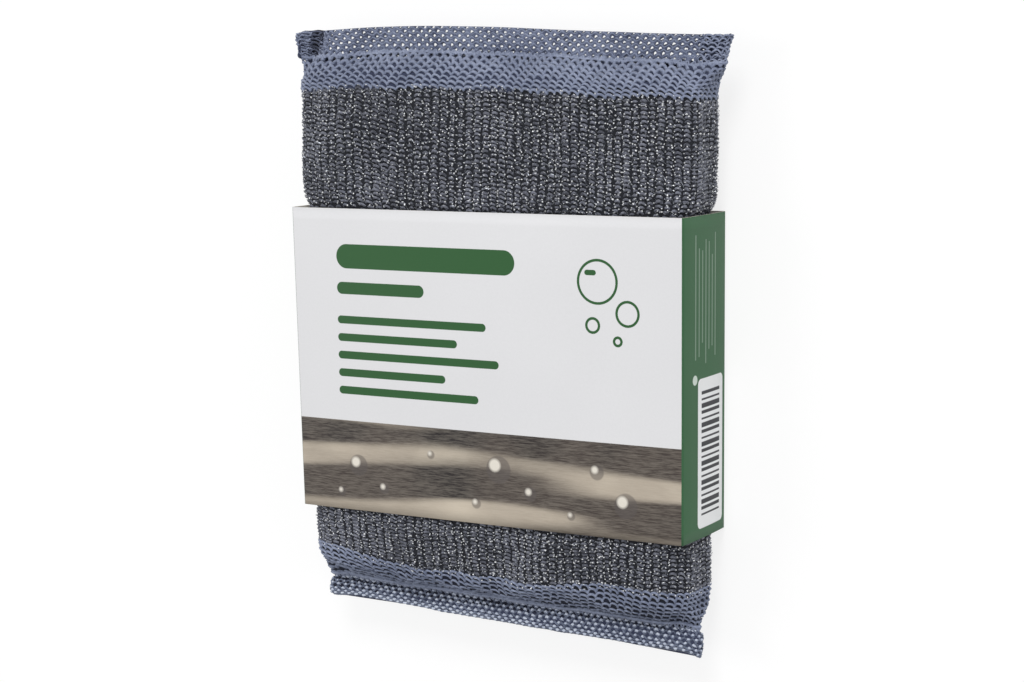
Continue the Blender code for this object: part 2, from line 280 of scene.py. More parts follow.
def ring(level, count):
    """The points of one section in space."""
    section = section_at(level)
    across, through = outline(section, count)
    side = across / section["half_width"]
    pull = section["pull"]
    if pull > 0:
        droop = np.where(side > 0, TOP_DROOP_RIGHT, TOP_DROOP_LEFT) * side ** 2
        skew = -pull * (droop + TOP_WAVE * np.sin(math.pi * side))
    else:
        skew = -pull * (BOTTOM_RISE + BOTTOM_RISE_LEFT * (1 - side) / 2)
    out = min(abs(pull) * 4, 1.0)
    x = across - LEFT_SHIFT * out
    if level >= BOTTOM_SEAM_Y:
        z = section["centre_z"] + through
        if level > TOP_WIRE_Y:
            left = ear_reach(level, LEFT_HUMP, LEFT_SLOPES)
            right = ear_reach(level, RIGHT_HUMP, RIGHT_SLOPES)
            x = x + np.where(side > 0, right, -left) * side ** EAR_POWER
            z = z - crease(x, level + skew)
        return np.stack([x, level + skew, z], axis=1)
    share = (BOTTOM_SEAM_Y - level) / WELT_REACH
    angle = blend(ROLL_START, ROLL_END, min(share, 1.0))
    size = 1 + sum(change * smooth(end * side, low, high)
                   for end, change, low, high in ROLL_CHANGES)
    facing = through / section["half_thickness"]
    rounding = ROLL_ROUNDING * (1 - math.sin(angle)) ** 1.5
    x = x * (1 - rounding * np.where(side < 0, 1.0, ROUNDING_ON_RIGHT))
    x = x + NUB_REACH * smooth(side, 0.9, 1.0) * smooth(level, BOTTOM_SEAM_Y, -0.0600)
    drop = math.cos(ROLL_START) - math.cos(angle)
    y = BOTTOM_SEAM_Y + skew - ROLL_HALF_HEIGHT * size * drop
    z = MIDDLE_Z + ROLL_FORWARD * drop / 2 + facing * ROLL_HALF_DEPTH * size * math.sin(angle)
    return np.stack([x, y, z], axis=1)


# %% [markdown]
# ## The tube's net
# The cover is a net of columns round the tube and rows along it. Rows stand closer
# together at the seams, where the shape turns quickly. The inset keeps the net under
# the yarn, whose loops stand proud of it and reach the size of the solid.

# %% Rows and columns of the net
COLUMNS = 110
YARN_DEPTH = 0.00062


def spread(start, end, step):
    count = max(round(abs(end - start) / step), 1)
    return [start + (end - start) * i / count for i in range(count)]


ROW_LEVELS = np.array(
    spread(BOTTOM_SEAM_Y - WELT_REACH, BOTTOM_SEAM_Y, 0.55 * MM)
    + spread(BOTTOM_SEAM_Y, BOTTOM_WIRE_Y, 1.1 * MM)
    + spread(BOTTOM_WIRE_Y, SLEEVE_BOTTOM_Y, 2 * MM)
    + spread(SLEEVE_BOTTOM_Y, SLEEVE_TOP_Y, 3.5 * MM)
    + spread(SLEEVE_TOP_Y, TOP_WIRE_Y, 2 * MM)
    + spread(TOP_WIRE_Y, TOP_SEAM_Y, 1.1 * MM)
    + spread(TOP_SEAM_Y, TOP_SEAM_Y + WELT_REACH, 0.9 * MM)
    + [TOP_SEAM_Y + WELT_REACH])
ROWS = len(ROW_LEVELS)
net = np.array([ring(level, COLUMNS) for level in ROW_LEVELS])


def net_normals(points):
    """The outward direction at each point of a net of rows and columns."""
    along = np.gradient(points, axis=0)
    round_it = np.roll(points, -1, axis=1) - np.roll(points, 1, axis=1)
    normals = np.cross(round_it, along)
    lengths = np.linalg.norm(normals, axis=2, keepdims=True)
    return normals / np.maximum(lengths, 1e-9)


normals = net_normals(net)
print("net:", ROWS, "rows by", COLUMNS, "columns")
print("outward on the front:", np.round(normals[ROWS // 2, 0], 2).tolist())

# %% [markdown]
# ## What use and sewing do to the shape
# Real sewing gathers a tube: it puckers beside the seam, the corners crease, and the foam
# makes slow lumps. Each is a small move along the normal, made of smooth bumps and a
# little noise. Sculpting by hand would do it too, but these moves repeat exactly.

# %% Puckers, creases and lumps
BARE_RUN = 0.006
PUCKER_RUN = 0.0026
PUCKER_OFFSET = 0.0012
# Each lump is (size in mm, pitch in mm, seed)
LUMPS = ((0.28, 11, 3.0), (0.16, 4.5, 17.0))
# Each dent is (depth in mm, start, end, width): one in the left ear, three at the corners
DENTS = ((0.6, (-0.0420, 0.0565), (-0.0475, 0.0535), 0.0016),
         (0.7, (0.0425, 0.0570), (0.0485, 0.0505), 0.0017),
         (0.7, (-0.0405, -0.0555), (-0.0460, -0.0520), 0.0018),
         (0.6, (0.0410, -0.0575), (0.0450, -0.0530), 0.0018))


def lumps(points, scale, seed):
    """Smooth noise at every point, about -1 to 1."""
    flat = points.reshape(-1, 3) / (scale * MM)
    values = [noise.noise(Vector(point) + Vector((seed, 0.0, 0.0))) for point in flat]
    return np.array(values).reshape(points.shape[:2])


def natural_moves(points, normals):
    """How far each point of the net moves along its normal, in metres."""
    level = np.repeat(ROW_LEVELS[:, None], COLUMNS, axis=1)
    facing = smooth(normals[..., 2], -0.2, 0.4)
    x = points[..., 0]
    bare = smooth(past_sleeve(level), 0.0, BARE_RUN)
    near_seam = hump(level, TOP_SEAM_Y - PUCKER_OFFSET, PUCKER_RUN)
    near_seam = near_seam + hump(level, BOTTOM_SEAM_Y + PUCKER_OFFSET, PUCKER_RUN)
    ripple = np.sin(x / (2.3 * MM) + 2.0 * np.sin(x / (9 * MM)))
    moves = near_seam * (0.12 * ripple - 0.06)
    for size, pitch, seed in LUMPS:
        moves += size * lumps(points, pitch, seed) * bare
    for depth, start, end, width in DENTS:
        moves -= depth * line_hump(x, points[..., 1], start, end, width) * facing
    return moves * MM


moves = natural_moves(net, normals)
net = net + normals * (moves - YARN_DEPTH)[..., None]
print("moves: %.2f to %.2f mm" % (moves.min() / MM, moves.max() / MM))

# %% [markdown]
# ## The cover and a short cloth simulation
# A flat grid is rolled into the tube and its seam is merged. Then the cloth simulation
# lets the foam push: pressure inside, with the sewn ends and the part under the sleeve
# pinned. A little slack in the cloth gives small natural wrinkles. The result is capped,
# so that the pad keeps its size, and read back into the net for the yarn to lie on.

# %% Helpers for pieces
def add_piece(name, mesh):
    """A finished piece that rides on the one body."""
    piece = bpy.data.objects.new(name, mesh)
    bpy.context.scene.collection.objects.link(piece)
    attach(piece, "root")
    return piece


def shade_smooth(mesh):
    mesh.polygons.foreach_set("use_smooth", [True] * len(mesh.polygons))
    mesh.update()


def mesh_of(bm, name):
    """A mesh made of a finished bmesh, which is freed."""
    mesh = bpy.data.meshes.new(name)
    bm.to_mesh(mesh)
    bm.free()
    return mesh


# %% Roll a grid into the cover
def rolled_tube(points, name="pad_cover"):
    """A tube whose vertices are at the net's points, with both ends filled."""
    rows, columns = points.shape[:2]
    bm = bmesh.new()
    row_layer = bm.verts.layers.int.new("net_row")
    column_layer = bm.verts.layers.int.new("net_column")
    bmesh.ops.create_grid(bm, x_segments=columns, y_segments=rows - 1, size=1.0)
    for vert in bm.verts:
        column = round((vert.co.x + 1) / 2 * columns) % columns
        row = round((vert.co.y + 1) / 2 * (rows - 1))
        vert[row_layer], vert[column_layer] = row, column
        vert.co = points[row, column]
    bmesh.ops.remove_doubles(bm, verts=bm.verts[:], dist=0.00001)
    open_edges = [edge for edge in bm.edges if edge.is_boundary]
    bmesh.ops.holes_fill(bm, edges=open_edges, sides=0)
    bmesh.ops.recalc_face_normals(bm, faces=bm.faces[:])
    return mesh_of(bm, name)


def net_places(mesh):
    """The row and column of each vertex of a rolled tube."""
    row = np.zeros(len(mesh.vertices), np.int32)
    column = np.zeros(len(mesh.vertices), np.int32)
    mesh.attributes["net_row"].data.foreach_get("value", row)
    mesh.attributes["net_column"].data.foreach_get("value", column)
    return row, column


COVER_ROWS = int(np.searchsorted(ROW_LEVELS, TOP_SEAM_Y + 0.1 * MM))
cover_mesh = rolled_tube(net[:COVER_ROWS])
print("cover:", len(cover_mesh.vertices), "vertices")

# %% Let the foam push
PRESSURE = 1.2
SLACK = 0.02
CAP = 0.8 * MM
CLOTH_FRAMES = 16
# The cloth is free up to the first distance from the middle of a bare end, and held past
# the second
TOP_HOLD = (13.5 * MM, 16 * MM)
LOW_HOLD = (7.5 * MM, 9.5 * MM)


def pin_weight(level):
    """1 where sewing or the sleeve holds the cloth, and 0 where it is free."""
    top = smooth(np.abs(level - (TOP_SEAM_Y + SLEEVE_TOP_Y) / 2), *TOP_HOLD)
    low = smooth(np.abs(level - (BOTTOM_SEAM_Y + SLEEVE_BOTTOM_Y) / 2), *LOW_HOLD)
    return np.minimum(top, low)


def pushed_net(mesh, points):
    """The net after the cloth simulation, each point moved by no more than the cap."""
    scene = bpy.context.scene
    work = bpy.data.objects.new("cloth_work", mesh.copy())
    scene.collection.objects.link(work)
    row, column = net_places(work.data)
    held = work.vertex_groups.new(name="held")
    for index, weight in enumerate(pin_weight(ROW_LEVELS[row])):
        held.add([index], float(weight), "REPLACE")
    cloth = work.modifiers.new("cloth", "CLOTH")
    cloth.settings.quality = 5
    cloth.settings.use_pressure = True
    cloth.settings.uniform_pressure_force = PRESSURE
    cloth.settings.shrink_min = -SLACK
    cloth.settings.vertex_group_mass = "held"
    cloth.settings.effector_weights.gravity = 0.0
    cloth.collision_settings.use_collision = False
    for number in range(1, CLOTH_FRAMES + 1):
        scene.frame_set(number)
    graph = bpy.context.evaluated_depsgraph_get()
    final = np.zeros(len(work.data.vertices) * 3, np.float32)
    work.evaluated_get(graph).data.vertices.foreach_get("co", final)
    start = points[row, column]
    step = final.reshape(-1, 3) - start
    length = np.linalg.norm(step, axis=1, keepdims=True)
    step *= np.minimum(1.0, CAP / np.maximum(length, 1e-9))
    result = points.copy()
    result[row, column] = start + step
    print("cloth moved points by up to %.2f mm" % (length.max() / MM),
          "and half of them by over %.2f mm" % (np.median(length) / MM))
    bpy.data.objects.remove(work)
    scene.frame_set(1)
    return result


net = pushed_net(cover_mesh, net)
row, column = net_places(cover_mesh)
cover_mesh.vertices.foreach_set("co", net[row, column].astype(np.float32).ravel())

# %% [markdown]
# ## Places on the cover
# The yarn needs any place on the cover, not only the net's points. A cubic B-spline over
# the net gives a smooth surface, the same one that a subdivision surface tends to, and
# its slopes give the outward direction.

# %% Read a place on the cover
def cubic(share):
    """The four weights of a cubic B-spline, and those of its slope."""
    rest = 1 - share
    value = [rest ** 3, 3 * share ** 3 - 6 * share ** 2 + 4,
             -3 * share ** 3 + 3 * share ** 2 + 3 * share + 1, share ** 3]
    slope = [-rest ** 2, 3 * share ** 2 - 4 * share, -3 * share ** 2 + 2 * share + 1,
             share ** 2]
    return [part / 6 for part in value], [part / 2 for part in slope]


def on_cover(turn, level, lift):
    """Points at a turn round the tube (0 to 1) and a level, lifted off the cover."""
    ends = (2 * net[0] - net[1], 2 * net[-1] - net[-2])
    longer = np.concatenate([ends[0][None], net, ends[1][None], ends[1][None]])
    column = (turn % 1.0) * COLUMNS
    row = np.interp(level, ROW_LEVELS, np.arange(ROWS))
    column_index, row_index = np.floor(column).astype(int), np.floor(row).astype(int)
    across, across_slope = cubic(column - column_index)
    along, along_slope = cubic(row - row_index)
    point, round_it, up = 0.0, 0.0, 0.0
    for i in range(4):
        for j in range(4):
            near = longer[row_index + i, (column_index + j - 1) % COLUMNS]
            point = point + near * (along[i] * across[j])[:, None]
            round_it = round_it + near * (along[i] * across_slope[j])[:, None]
            up = up + near * (along_slope[i] * across[j])[:, None]
    outward = np.cross(round_it, up)
    outward /= np.maximum(np.linalg.norm(outward, axis=1, keepdims=True), 1e-9)
    return point + outward * lift[:, None]


probe = on_cover(np.array([0.0, 0.25, 0.5]), np.zeros(3), np.zeros(3))
print("front, side and back of the middle:", np.round(probe / MM, 1).tolist())

# %% [markdown]
# ## Colours and shared effects
# Colours are written as the usual 0 to 255 values and turned into linear light. Yarn is
# never one tone: fibres catch light along the twist, and dust and wear change it slowly.
# One node group makes both, and every yarn uses it with its own values.

# %% Helpers for materials
def srgb(red, green, blue):
    """A linear colour from the usual 0 to 255 values."""
    def linear(value):
        share = value / 255
        return share / 12.92 if share <= 0.04045 else ((share + 0.055) / 1.055) ** 2.4
    return (linear(red), linear(green), linear(blue), 1.0)


def new_material(name, roughness=0.7, metallic=0.0):
    material = bpy.data.materials.new(name)
    material.use_nodes = True
    shader = material.node_tree.nodes["Principled BSDF"]
    shader.inputs["Roughness"].default_value = roughness
    shader.inputs["Metallic"].default_value = metallic
    return material, material.node_tree, shader


def object_place(tree):
    """Object coordinates, which are metres from the frame's origin on every piece."""
    return tree.nodes.new("ShaderNodeTexCoord").outputs["Object"]


def use_group(tree, group, place):
    """A node that uses a group at a place."""
    node = tree.nodes.new("ShaderNodeGroup")
    node.node_tree = group
    tree.links.new(place, node.inputs["Place"])
    return node


def new_group(name, inputs, outputs):
    """An empty shader node group; each socket is (name, type) or (name, type, default)."""
    group = bpy.data.node_groups.new(name, "ShaderNodeTree")
    for direction, sockets in (("INPUT", inputs), ("OUTPUT", outputs)):
        for title, kind, *default in sockets:
            made = group.interface.new_socket(title, in_out=direction,
                                              socket_type="NodeSocket" + kind)
            if default:
                made.default_value = default[0]
    return group, group.nodes.new("NodeGroupInput"), group.nodes.new("NodeGroupOutput")


def math_node(tree, operation, *values):
    """A Math node; each value is a number or an output socket."""
    node = tree.nodes.new("ShaderNodeMath")
    node.operation = operation
    for socket, value in zip(node.inputs, values):
        if isinstance(value, (int, float)):
            socket.default_value = value
        else:
            tree.links.new(value, socket)
    return node.outputs[0]


def mix_colour(tree, share, first, second, kind="MIX"):
    """A Mix Color node; each colour is a tuple or an output socket."""
    node = tree.nodes.new("ShaderNodeMix")
    node.data_type = "RGBA"
    node.blend_type = kind
    for socket, value in ((node.inputs[0], share), (node.inputs[6], first),
                          (node.inputs[7], second)):
        if isinstance(value, (int, float, tuple)):
            socket.default_value = value
        else:
            tree.links.new(value, socket)
    return node.outputs[2]


def noise_value(tree, place, scale, detail=2.0, rough=0.5):
    node = tree.nodes.new("ShaderNodeTexNoise")
    node.inputs["Scale"].default_value = scale
    node.inputs["Detail"].default_value = detail
    node.inputs["Roughness"].default_value = rough
    tree.links.new(place, node.inputs["Vector"])
    return node.outputs["Fac"]


def ranged(tree, value, low, high, start, end):
    """A value between low and high, as an S curve between start and end."""
    node = tree.nodes.new("ShaderNodeMapRange")
    node.interpolation_type = "SMOOTHSTEP"
    for socket, number in zip(node.inputs[1:5], (low, high, start, end)):
        socket.default_value = number
    tree.links.new(value, node.inputs[0])
    return node.outputs[0]


def bump_normal(tree, height, strength, distance):
    node = tree.nodes.new("ShaderNodeBump")
    node.inputs["Strength"].default_value = strength
    node.inputs["Distance"].default_value = distance
    tree.links.new(height, node.inputs["Height"])
    return node.outputs["Normal"]


# %% The fibre group
FIBRE_SCALE, TUFT_SCALE, SLOW_SCALE = 5200, 900, 70
FIBRE_RELIEF = 0.06 * MM


def make_fibre_group():
    """Fine fibres and slow changes of tone for yarn, from Object coordinates."""
    group, given, result = new_group(
        "fibre_tone",
        [("Place", "Vector"), ("Light", "Color", (0.5, 0.5, 0.5, 1)),
         ("Dark", "Color", (0.1, 0.1, 0.1, 1)), ("Contrast", "Float", 1.0)],
        [("Color", "Color"), ("Height", "Float")])
    place = given.outputs["Place"]
    fibres = noise_value(group, place, FIBRE_SCALE, 3.0, 0.6)
    tufts = noise_value(group, place, TUFT_SCALE, 2.0, 0.5)
    slow = noise_value(group, place, SLOW_SCALE, 2.0, 0.5)
    sum_it = math_node(group, "ADD", math_node(group, "MULTIPLY", fibres, 0.40),
                       math_node(group, "MULTIPLY", tufts, 0.35))
    sum_it = math_node(group, "ADD", sum_it, math_node(group, "MULTIPLY", slow, 0.25))
    centred = math_node(group, "SUBTRACT", sum_it, 0.5)
    tone = math_node(group, "MULTIPLY_ADD", centred, given.outputs["Contrast"], 0.5)
    tone = ranged(group, tone, 0.32, 0.68, 0.0, 1.0)
    colour = mix_colour(group, tone, given.outputs["Dark"], given.outputs["Light"])
    group.links.new(colour, result.inputs["Color"])
    group.links.new(fibres, result.inputs["Height"])
    return group


FIBRES = make_fibre_group()


def yarn_material(name, light, dark, roughness=0.75, contrast=1.0, sheen=0.15):
    material, tree, shader = new_material(name, roughness)
    node = use_group(tree, FIBRES, object_place(tree))
    node.inputs["Light"].default_value = light
    node.inputs["Dark"].default_value = dark
    node.inputs["Contrast"].default_value = contrast
    tree.links.new(node.outputs["Color"], shader.inputs["Base Color"])
    normal = bump_normal(tree, node.outputs["Height"], 0.5, FIBRE_RELIEF)
    tree.links.new(normal, shader.inputs["Normal"])
    shader.inputs["Sheen Weight"].default_value = sheen
    shader.inputs["Sheen Roughness"].default_value = 0.5
    return material


plain_yarn = yarn_material("plain_yarn", srgb(150, 159, 183), srgb(96, 105, 130))
wire_yarn = yarn_material("wire_yarn", srgb(123, 126, 139), srgb(50, 53, 65), 0.6, 1.8)
# A darker copy of the yarn for the curled welt's net: painted shade on the roll
roll_shade_yarn = yarn_material("roll_shade_yarn", srgb(127, 136, 158), srgb(68, 77, 99), 0.75, 1.4)
open_yarn = yarn_material("open_yarn", srgb(114, 123, 148), srgb(50, 58, 84), 0.75, 1.8)
ear_yarn = yarn_material("ear_yarn", srgb(158, 167, 191), srgb(90, 98, 123), 0.75, 1.5)
# A darker copy of the yarn: painted shade in the left ear's crease
crease_shade_yarn = yarn_material("crease_shade_yarn", srgb(86, 93, 116), srgb(36, 41, 60), 0.75, 1.5)
# Near white yarn heads: painted light on the curled welt
painted_light_dot_yarn = yarn_material("painted_light_dot_yarn", srgb(222, 229, 242), srgb(160, 169, 191))
seam_yarn = yarn_material("seam_yarn", srgb(158, 167, 190), srgb(108, 117, 143))
print("yarns:", [m.name for m in bpy.data.materials])

# %% The steel wire
def make_steel(name, metallic, dark, light):
    """Stainless wire, with a roughness that changes along it."""
    material, tree, shader = new_material(name, 0.28, metallic)
    scratches = noise_value(tree, object_place(tree), 2600, 2.0)
    tone = mix_colour(tree, ranged(tree, scratches, 0.35, 0.65, 0.0, 1.0), dark, light)
    tree.links.new(tone, shader.inputs["Base Color"])
    rough = ranged(tree, scratches, 0.3, 0.7, 0.20, 0.40)
    tree.links.new(rough, shader.inputs["Roughness"])
    return material


# Near white and only partly metallic: the glints' brightness is a painted highlight
stainless = make_steel("painted_glint_wire", 0.35, srgb(206, 209, 214), srgb(250, 251, 253))
# Far darker than bare steel: painted shade along the wire between its glints
painted_shade_wire = make_steel("painted_shade_steel", 1.0, srgb(84, 87, 94), srgb(150, 153, 160))

# %% [markdown]
# ## The cover's finish
# Between the loops one looks down on the inner side of the fabric. The cover stands
# for it, in dark yarn with a tufted relief: nearly black under the wire knit, deep navy
# under the bottom band, where one looks into open loops, and plain navy elsewhere. The
# nearly black and the deep navy are painted shade of the pits between the loops.

# %% Finish the cover
def make_backing(name, dark, light):
    material, tree, shader = new_material(name, 0.9)
    tufts = noise_value(tree, object_place(tree), 1300, 3.0, 0.6)
    tone = mix_colour(tree, tufts, dark, light)
    tree.links.new(tone, shader.inputs["Base Color"])
    tree.links.new(bump_normal(tree, tufts, 0.6, 0.0002), shader.inputs["Normal"])
    return material


shade_smooth(cover_mesh)
# The two darkest backings are painted shade: of the pits between loops, and of the left ear's
# crease
wire_shade_backing = make_backing("wire_shade_backing", srgb(8, 10, 15), srgb(32, 35, 45))
plain_backing = make_backing("plain_backing", srgb(34, 40, 62), srgb(66, 73, 98))
deep_shade_backing = make_backing("deep_shade_backing", srgb(14, 17, 30), srgb(36, 41, 60))
for material in (wire_shade_backing, plain_backing, deep_shade_backing):
    cover_mesh.materials.append(material)
for face in cover_mesh.polygons:
    wired = BOTTOM_WIRE_Y < face.center.y < TOP_WIRE_Y
    deep = BOTTOM_SEAM_Y - 0.5 * MM < face.center.y < BOTTOM_WIRE_Y
    face.material_index = 0 if wired else 2 if deep else 1
cover = add_piece("pad_cover", cover_mesh)
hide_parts("knit_cover")
finer = cover.modifiers.new("finer", "SUBSURF")
finer.levels = finer.render_levels = 1

# %% [markdown]
# ## Knitting the yarn
# A course is one row of loops, all from one yarn that goes round the tube. Seen from the
# back, which is the outside here, the heads and feet of the loops stand in front and
# their legs lie behind. A course is a wave: across it swings twice for each loop, up and
# down once, and in and out twice. Curves with a round section make it into yarn, and
# each is turned into a mesh in the end. In the middle zone each column of loops, a rib,
# stands a little higher or lower and further in or out than its neighbours, in every
# course alike, so that one sees ribs and not rows.

# %% One course of loops
WALES = 108
RIGHT_GATHER = 0.09
EAR_SIDE = 0.88
EDGE_FLATTENING = 0.5
EDGE_SIDES = (0.94, 1.02)
LIFT_CHANGE = 0.25 * MM
THICKNESS_CHANGE = 0.08
# Loops lie flat under the sleeve, and stand up over a short run outside it
PRESSED_LIFT = 0.1 * MM
PRESSED_RUN = (-0.5 * MM, 3.0 * MM)
SHORTEST_SPLINE = 5
YARN_SEED = 20
RIB_SEED = 7
random = np.random.default_rng(YARN_SEED)
rib_random = np.random.default_rng(RIB_SEED)
RIB_STEPS = rib_random.normal(0.0, 0.26 * MM, WALES)
RIB_LIFTS = rib_random.normal(0.0, 0.09 * MM, WALES)


def turn_of(wale):
    """The turn of a place counted in loops. Loops are gathered a little on the right."""
    turn = np.linspace(-1.0, 2.0, 1501)
    loops = turn + RIGHT_GATHER / (2 * math.pi) * (1 - np.cos(2 * math.pi * turn))
    return np.interp(np.mod(wale / WALES, 1.0), loops, turn) % 1.0


def loop_noise(count, spread_share):
    """One random number for each loop, repeated smoothly round the tube."""
    values = random.normal(0.0, spread_share, WALES + 1)
    values[-1] = values[0]
    return np.interp(np.arange(count) / count * WALES, np.arange(WALES + 1), values)


def stretch(turn, level):
    """How much longer the cover is than its level says, where it slopes to a seam."""
    flat = np.zeros(len(turn))
    step = 0.2 * MM
    reach = on_cover(turn, level + step, flat) - on_cover(turn, level - step, flat)
    return np.clip(np.linalg.norm(reach, axis=1) / (2 * step), 1.0, 1.7)


def course(level_of, stitch, lean=0.0, shift=0.0):
    """The turn, level, lift and thickness at each point of one course.

    stitch holds: points for each loop; head, half the loop's height; pinch, how close
    the two legs stand; crest, how far the head leans left; tilt, how far heads stand
    over feet; depth, how far both stand over the legs; rake, how far the falling leg
    comes forward; base, the lift of all; uneven, how much loops differ in height; sway,
    how far they wander; fill and grow, how much the yarn and the heads spread where the
    cover slopes; ribs, the share it takes of each rib's own step and lift.
    """
    count = WALES * stitch["points"]
    phase = np.arange(count) / stitch["points"] * 2 * math.pi
    wale = phase / (2 * math.pi) - stitch["pinch"] * np.sin(phase)
    wale -= stitch["crest"] * (1 - np.cos(phase)) / 2
    wale += lean + shift + loop_noise(count, stitch["sway"])
    turn = turn_of(wale)
    flatter = 1 - EDGE_FLATTENING * smooth(np.abs(side_of(turn)), *EDGE_SIDES)
    tall = 1 + loop_noise(count, stitch["uneven"])
    slope = stretch(turn, level_of(turn))
    level = level_of(turn) - stitch["head"] * tall * np.cos(phase) * slope ** stitch["grow"]
    level += loop_noise(count, stitch["sway"] * MM)
    rib = np.arange(count) // stitch["points"]
    level += stitch["ribs"] * RIB_STEPS[rib]
    lift = stitch["depth"] * np.cos(2 * phase)
    lift -= stitch["tilt"] * np.cos(phase) + stitch["rake"] * np.sin(phase)
    lift = stitch["base"] + lift * flatter
    lift += loop_noise(count, stitch["uneven"] * LIFT_CHANGE)
    lift += stitch["ribs"] * RIB_LIFTS[rib]
    lift = blend(np.minimum(lift, PRESSED_LIFT), lift, smooth(past_sleeve(level), *PRESSED_RUN))
    thickness = (1 + loop_noise(count, THICKNESS_CHANGE)) * slope ** stitch["fill"]
    return turn, level, lift, thickness


def add_spline(curve, points, thickness, closed):
    spline = curve.splines.new("POLY")
    spline.points.add(len(points) - 1)
    if curve.get("twisted"):
        spline.points.foreach_set("tilt", random.uniform(0.0, math.pi, len(points)))
    spline.points.foreach_set("co", np.c_[points, np.ones(len(points))].ravel())
    spline.points.foreach_set("radius", thickness)
    spline.use_cyclic_u = closed


def add_course(curve, path, low, high, ears=False):
    """The parts of a course whose levels lie between two limits, as splines."""
    turn, level, lift, thickness = path
    keep = (level > low) & (level < high)
    if ears:
        to_edge = 1 - 2 * np.abs((2 * turn) % 1.0 - 0.5)
        keep &= to_edge > EAR_SIDE - 0.02
    points = on_cover(turn, level, lift)
    if keep.all():
        add_spline(curve, points, thickness, True)
        return
    if not keep.any():
        return
    first = int(np.argmin(keep))
    order = np.roll(np.arange(len(keep)), -first)
    keep_now = keep[order]
    edges = np.flatnonzero(np.diff(np.concatenate([[False], keep_now, [False]]).astype(int)))
    for start, end in zip(edges[::2], edges[1::2]):
        if end - start >= SHORTEST_SPLINE:
            chosen = order[start:end]
            add_spline(curve, points[chosen], thickness[chosen], False)


def yarn_curve(name, radius):
    curve = bpy.data.curves.new(name, "CURVE")
    curve.dimensions = "3D"
    curve.bevel_depth = radius
    curve.bevel_resolution = 0
    curve.use_fill_caps = True
    return curve


def finish_yarn(curve, material):
    """The curve as a mesh piece. Yarn is shaded smooth, and twisted wire keeps its facets."""
    name = curve.name
    faceted = bool(curve.get("twisted"))
    draft = bpy.data.objects.new(name + "_draft", curve)
    bpy.context.scene.collection.objects.link(draft)
    graph = bpy.context.evaluated_depsgraph_get()
    mesh = bpy.data.meshes.new_from_object(draft.evaluated_get(graph))
    bpy.data.objects.remove(draft)
    mesh.name = name
    mesh.polygons.foreach_set("use_smooth", [not faceted] * len(mesh.polygons))
    mesh.materials.clear()
    mesh.materials.append(material)
    triangles = sum(len(face.vertices) - 2 for face in mesh.polygons)
    print(name, triangles, "triangles")
    return add_piece(name, mesh)


# %% The stitches of each zone
TOP_EDGE = TOP_SEAM_Y + WELT_REACH
BOTTOM_EDGE = BOTTOM_SEAM_Y - WELT_REACH
BAND_COURSE = 0.95 * MM
WIRE_COURSE = 0.90 * MM
HOLE_COURSE = WELT_REACH / 5.5
EAR_COURSE = 0.80 * MM
DOT_COURSE = 0.72 * MM
# What a stitch doesn't name, it has none of
NONE = dict.fromkeys(("pinch", "crest", "rake", "fill", "grow", "ribs"), 0.0)
BAND_STITCH = dict(NONE, points=10, head=0.35 * MM, pinch=0.15, crest=0.14, tilt=0.07 * MM,
                   depth=0.08 * MM, rake=0.08 * MM, base=0.12 * MM, uneven=0.10, sway=0.045,
                   fill=0.8, grow=-0.2)
LOWER_STITCH = dict(BAND_STITCH, head=0.40 * MM, depth=0.10 * MM, fill=-0.45, grow=0.30)
WIRE_STITCH = dict(NONE, points=8, head=0.27 * MM, pinch=0.02, crest=0.04, tilt=0.34 * MM,
                   depth=0.02 * MM, rake=0.05 * MM, base=-0.14 * MM, uneven=0.20, sway=0.03,
                   ribs=1.0)
STEEL_STITCH = dict(NONE, points=6, head=0.40 * MM, tilt=0.14 * MM, depth=0.16 * MM,
                    rake=0.06 * MM, base=0.06 * MM, uneven=0.5, sway=0.20)
EAR_STITCH = dict(NONE, points=8, head=0.34 * MM, pinch=0.12, crest=0.10, tilt=0.10 * MM,
                  depth=0.08 * MM, rake=0.06 * MM, base=0.05 * MM, uneven=0.25, sway=0.08)
WELT_STITCH = dict(NONE, points=6, head=0.24 * MM, tilt=0.04 * MM, depth=0.05 * MM,
                   base=-0.18 * MM, uneven=0.05, sway=0.02)
ROLL_STITCH = dict(NONE, points=8, head=0.24 * MM, pinch=0.04, crest=0.05, tilt=0.04 * MM,
                   depth=0.03 * MM, base=0.05 * MM, uneven=0.08, sway=0.05)
DOT_STITCH = dict(NONE, points=8, head=0.14 * MM, pinch=-0.04, tilt=0.48 * MM,
                  depth=0.04 * MM, base=-0.24 * MM, uneven=0.22, sway=0.08)
BAND_YARN = 0.30 * MM
LOWER_YARN = 0.28 * MM
WIRE_YARN = 0.32 * MM
STEEL_WIRE = 0.115 * MM
GLINT_WIRE = 0.135 * MM
EAR_YARN = 0.21 * MM
WELT_YARN = 0.18 * MM
ROLL_YARN = 0.22 * MM
DOT_YARN = 0.29 * MM


# Waves of a course are (height in mm, rate, phase), over a side that runs from -1 to 1
TOP_WAVES = ((0.30, 7.3, 1.0), (0.24, 17.0, 0.0))
BOTTOM_WAVES = ((0.22, 8.3, 2.0), (0.16, 21.0, 0.0))
BOTTOM_GRAIN_Y = -0.0520
GRAIN_RISE_LEFT, GRAIN_RISE_RIGHT = 0.0028, 0.0019


def side_of(turn):
    """-1 at the tube's left edge, 1 at its right edge, for a turn round the tube."""
    column = (turn % 1.0) * COLUMNS
    across = np.append(net[ROWS // 2, :, 0], net[ROWS // 2, 0, 0])
    return np.interp(column, np.arange(COLUMNS + 1), across) / HELD_HALF_WIDTH


def waves(side, parts):
    return sum(height * MM * np.sin(rate * side + phase) for height, rate, phase in parts)


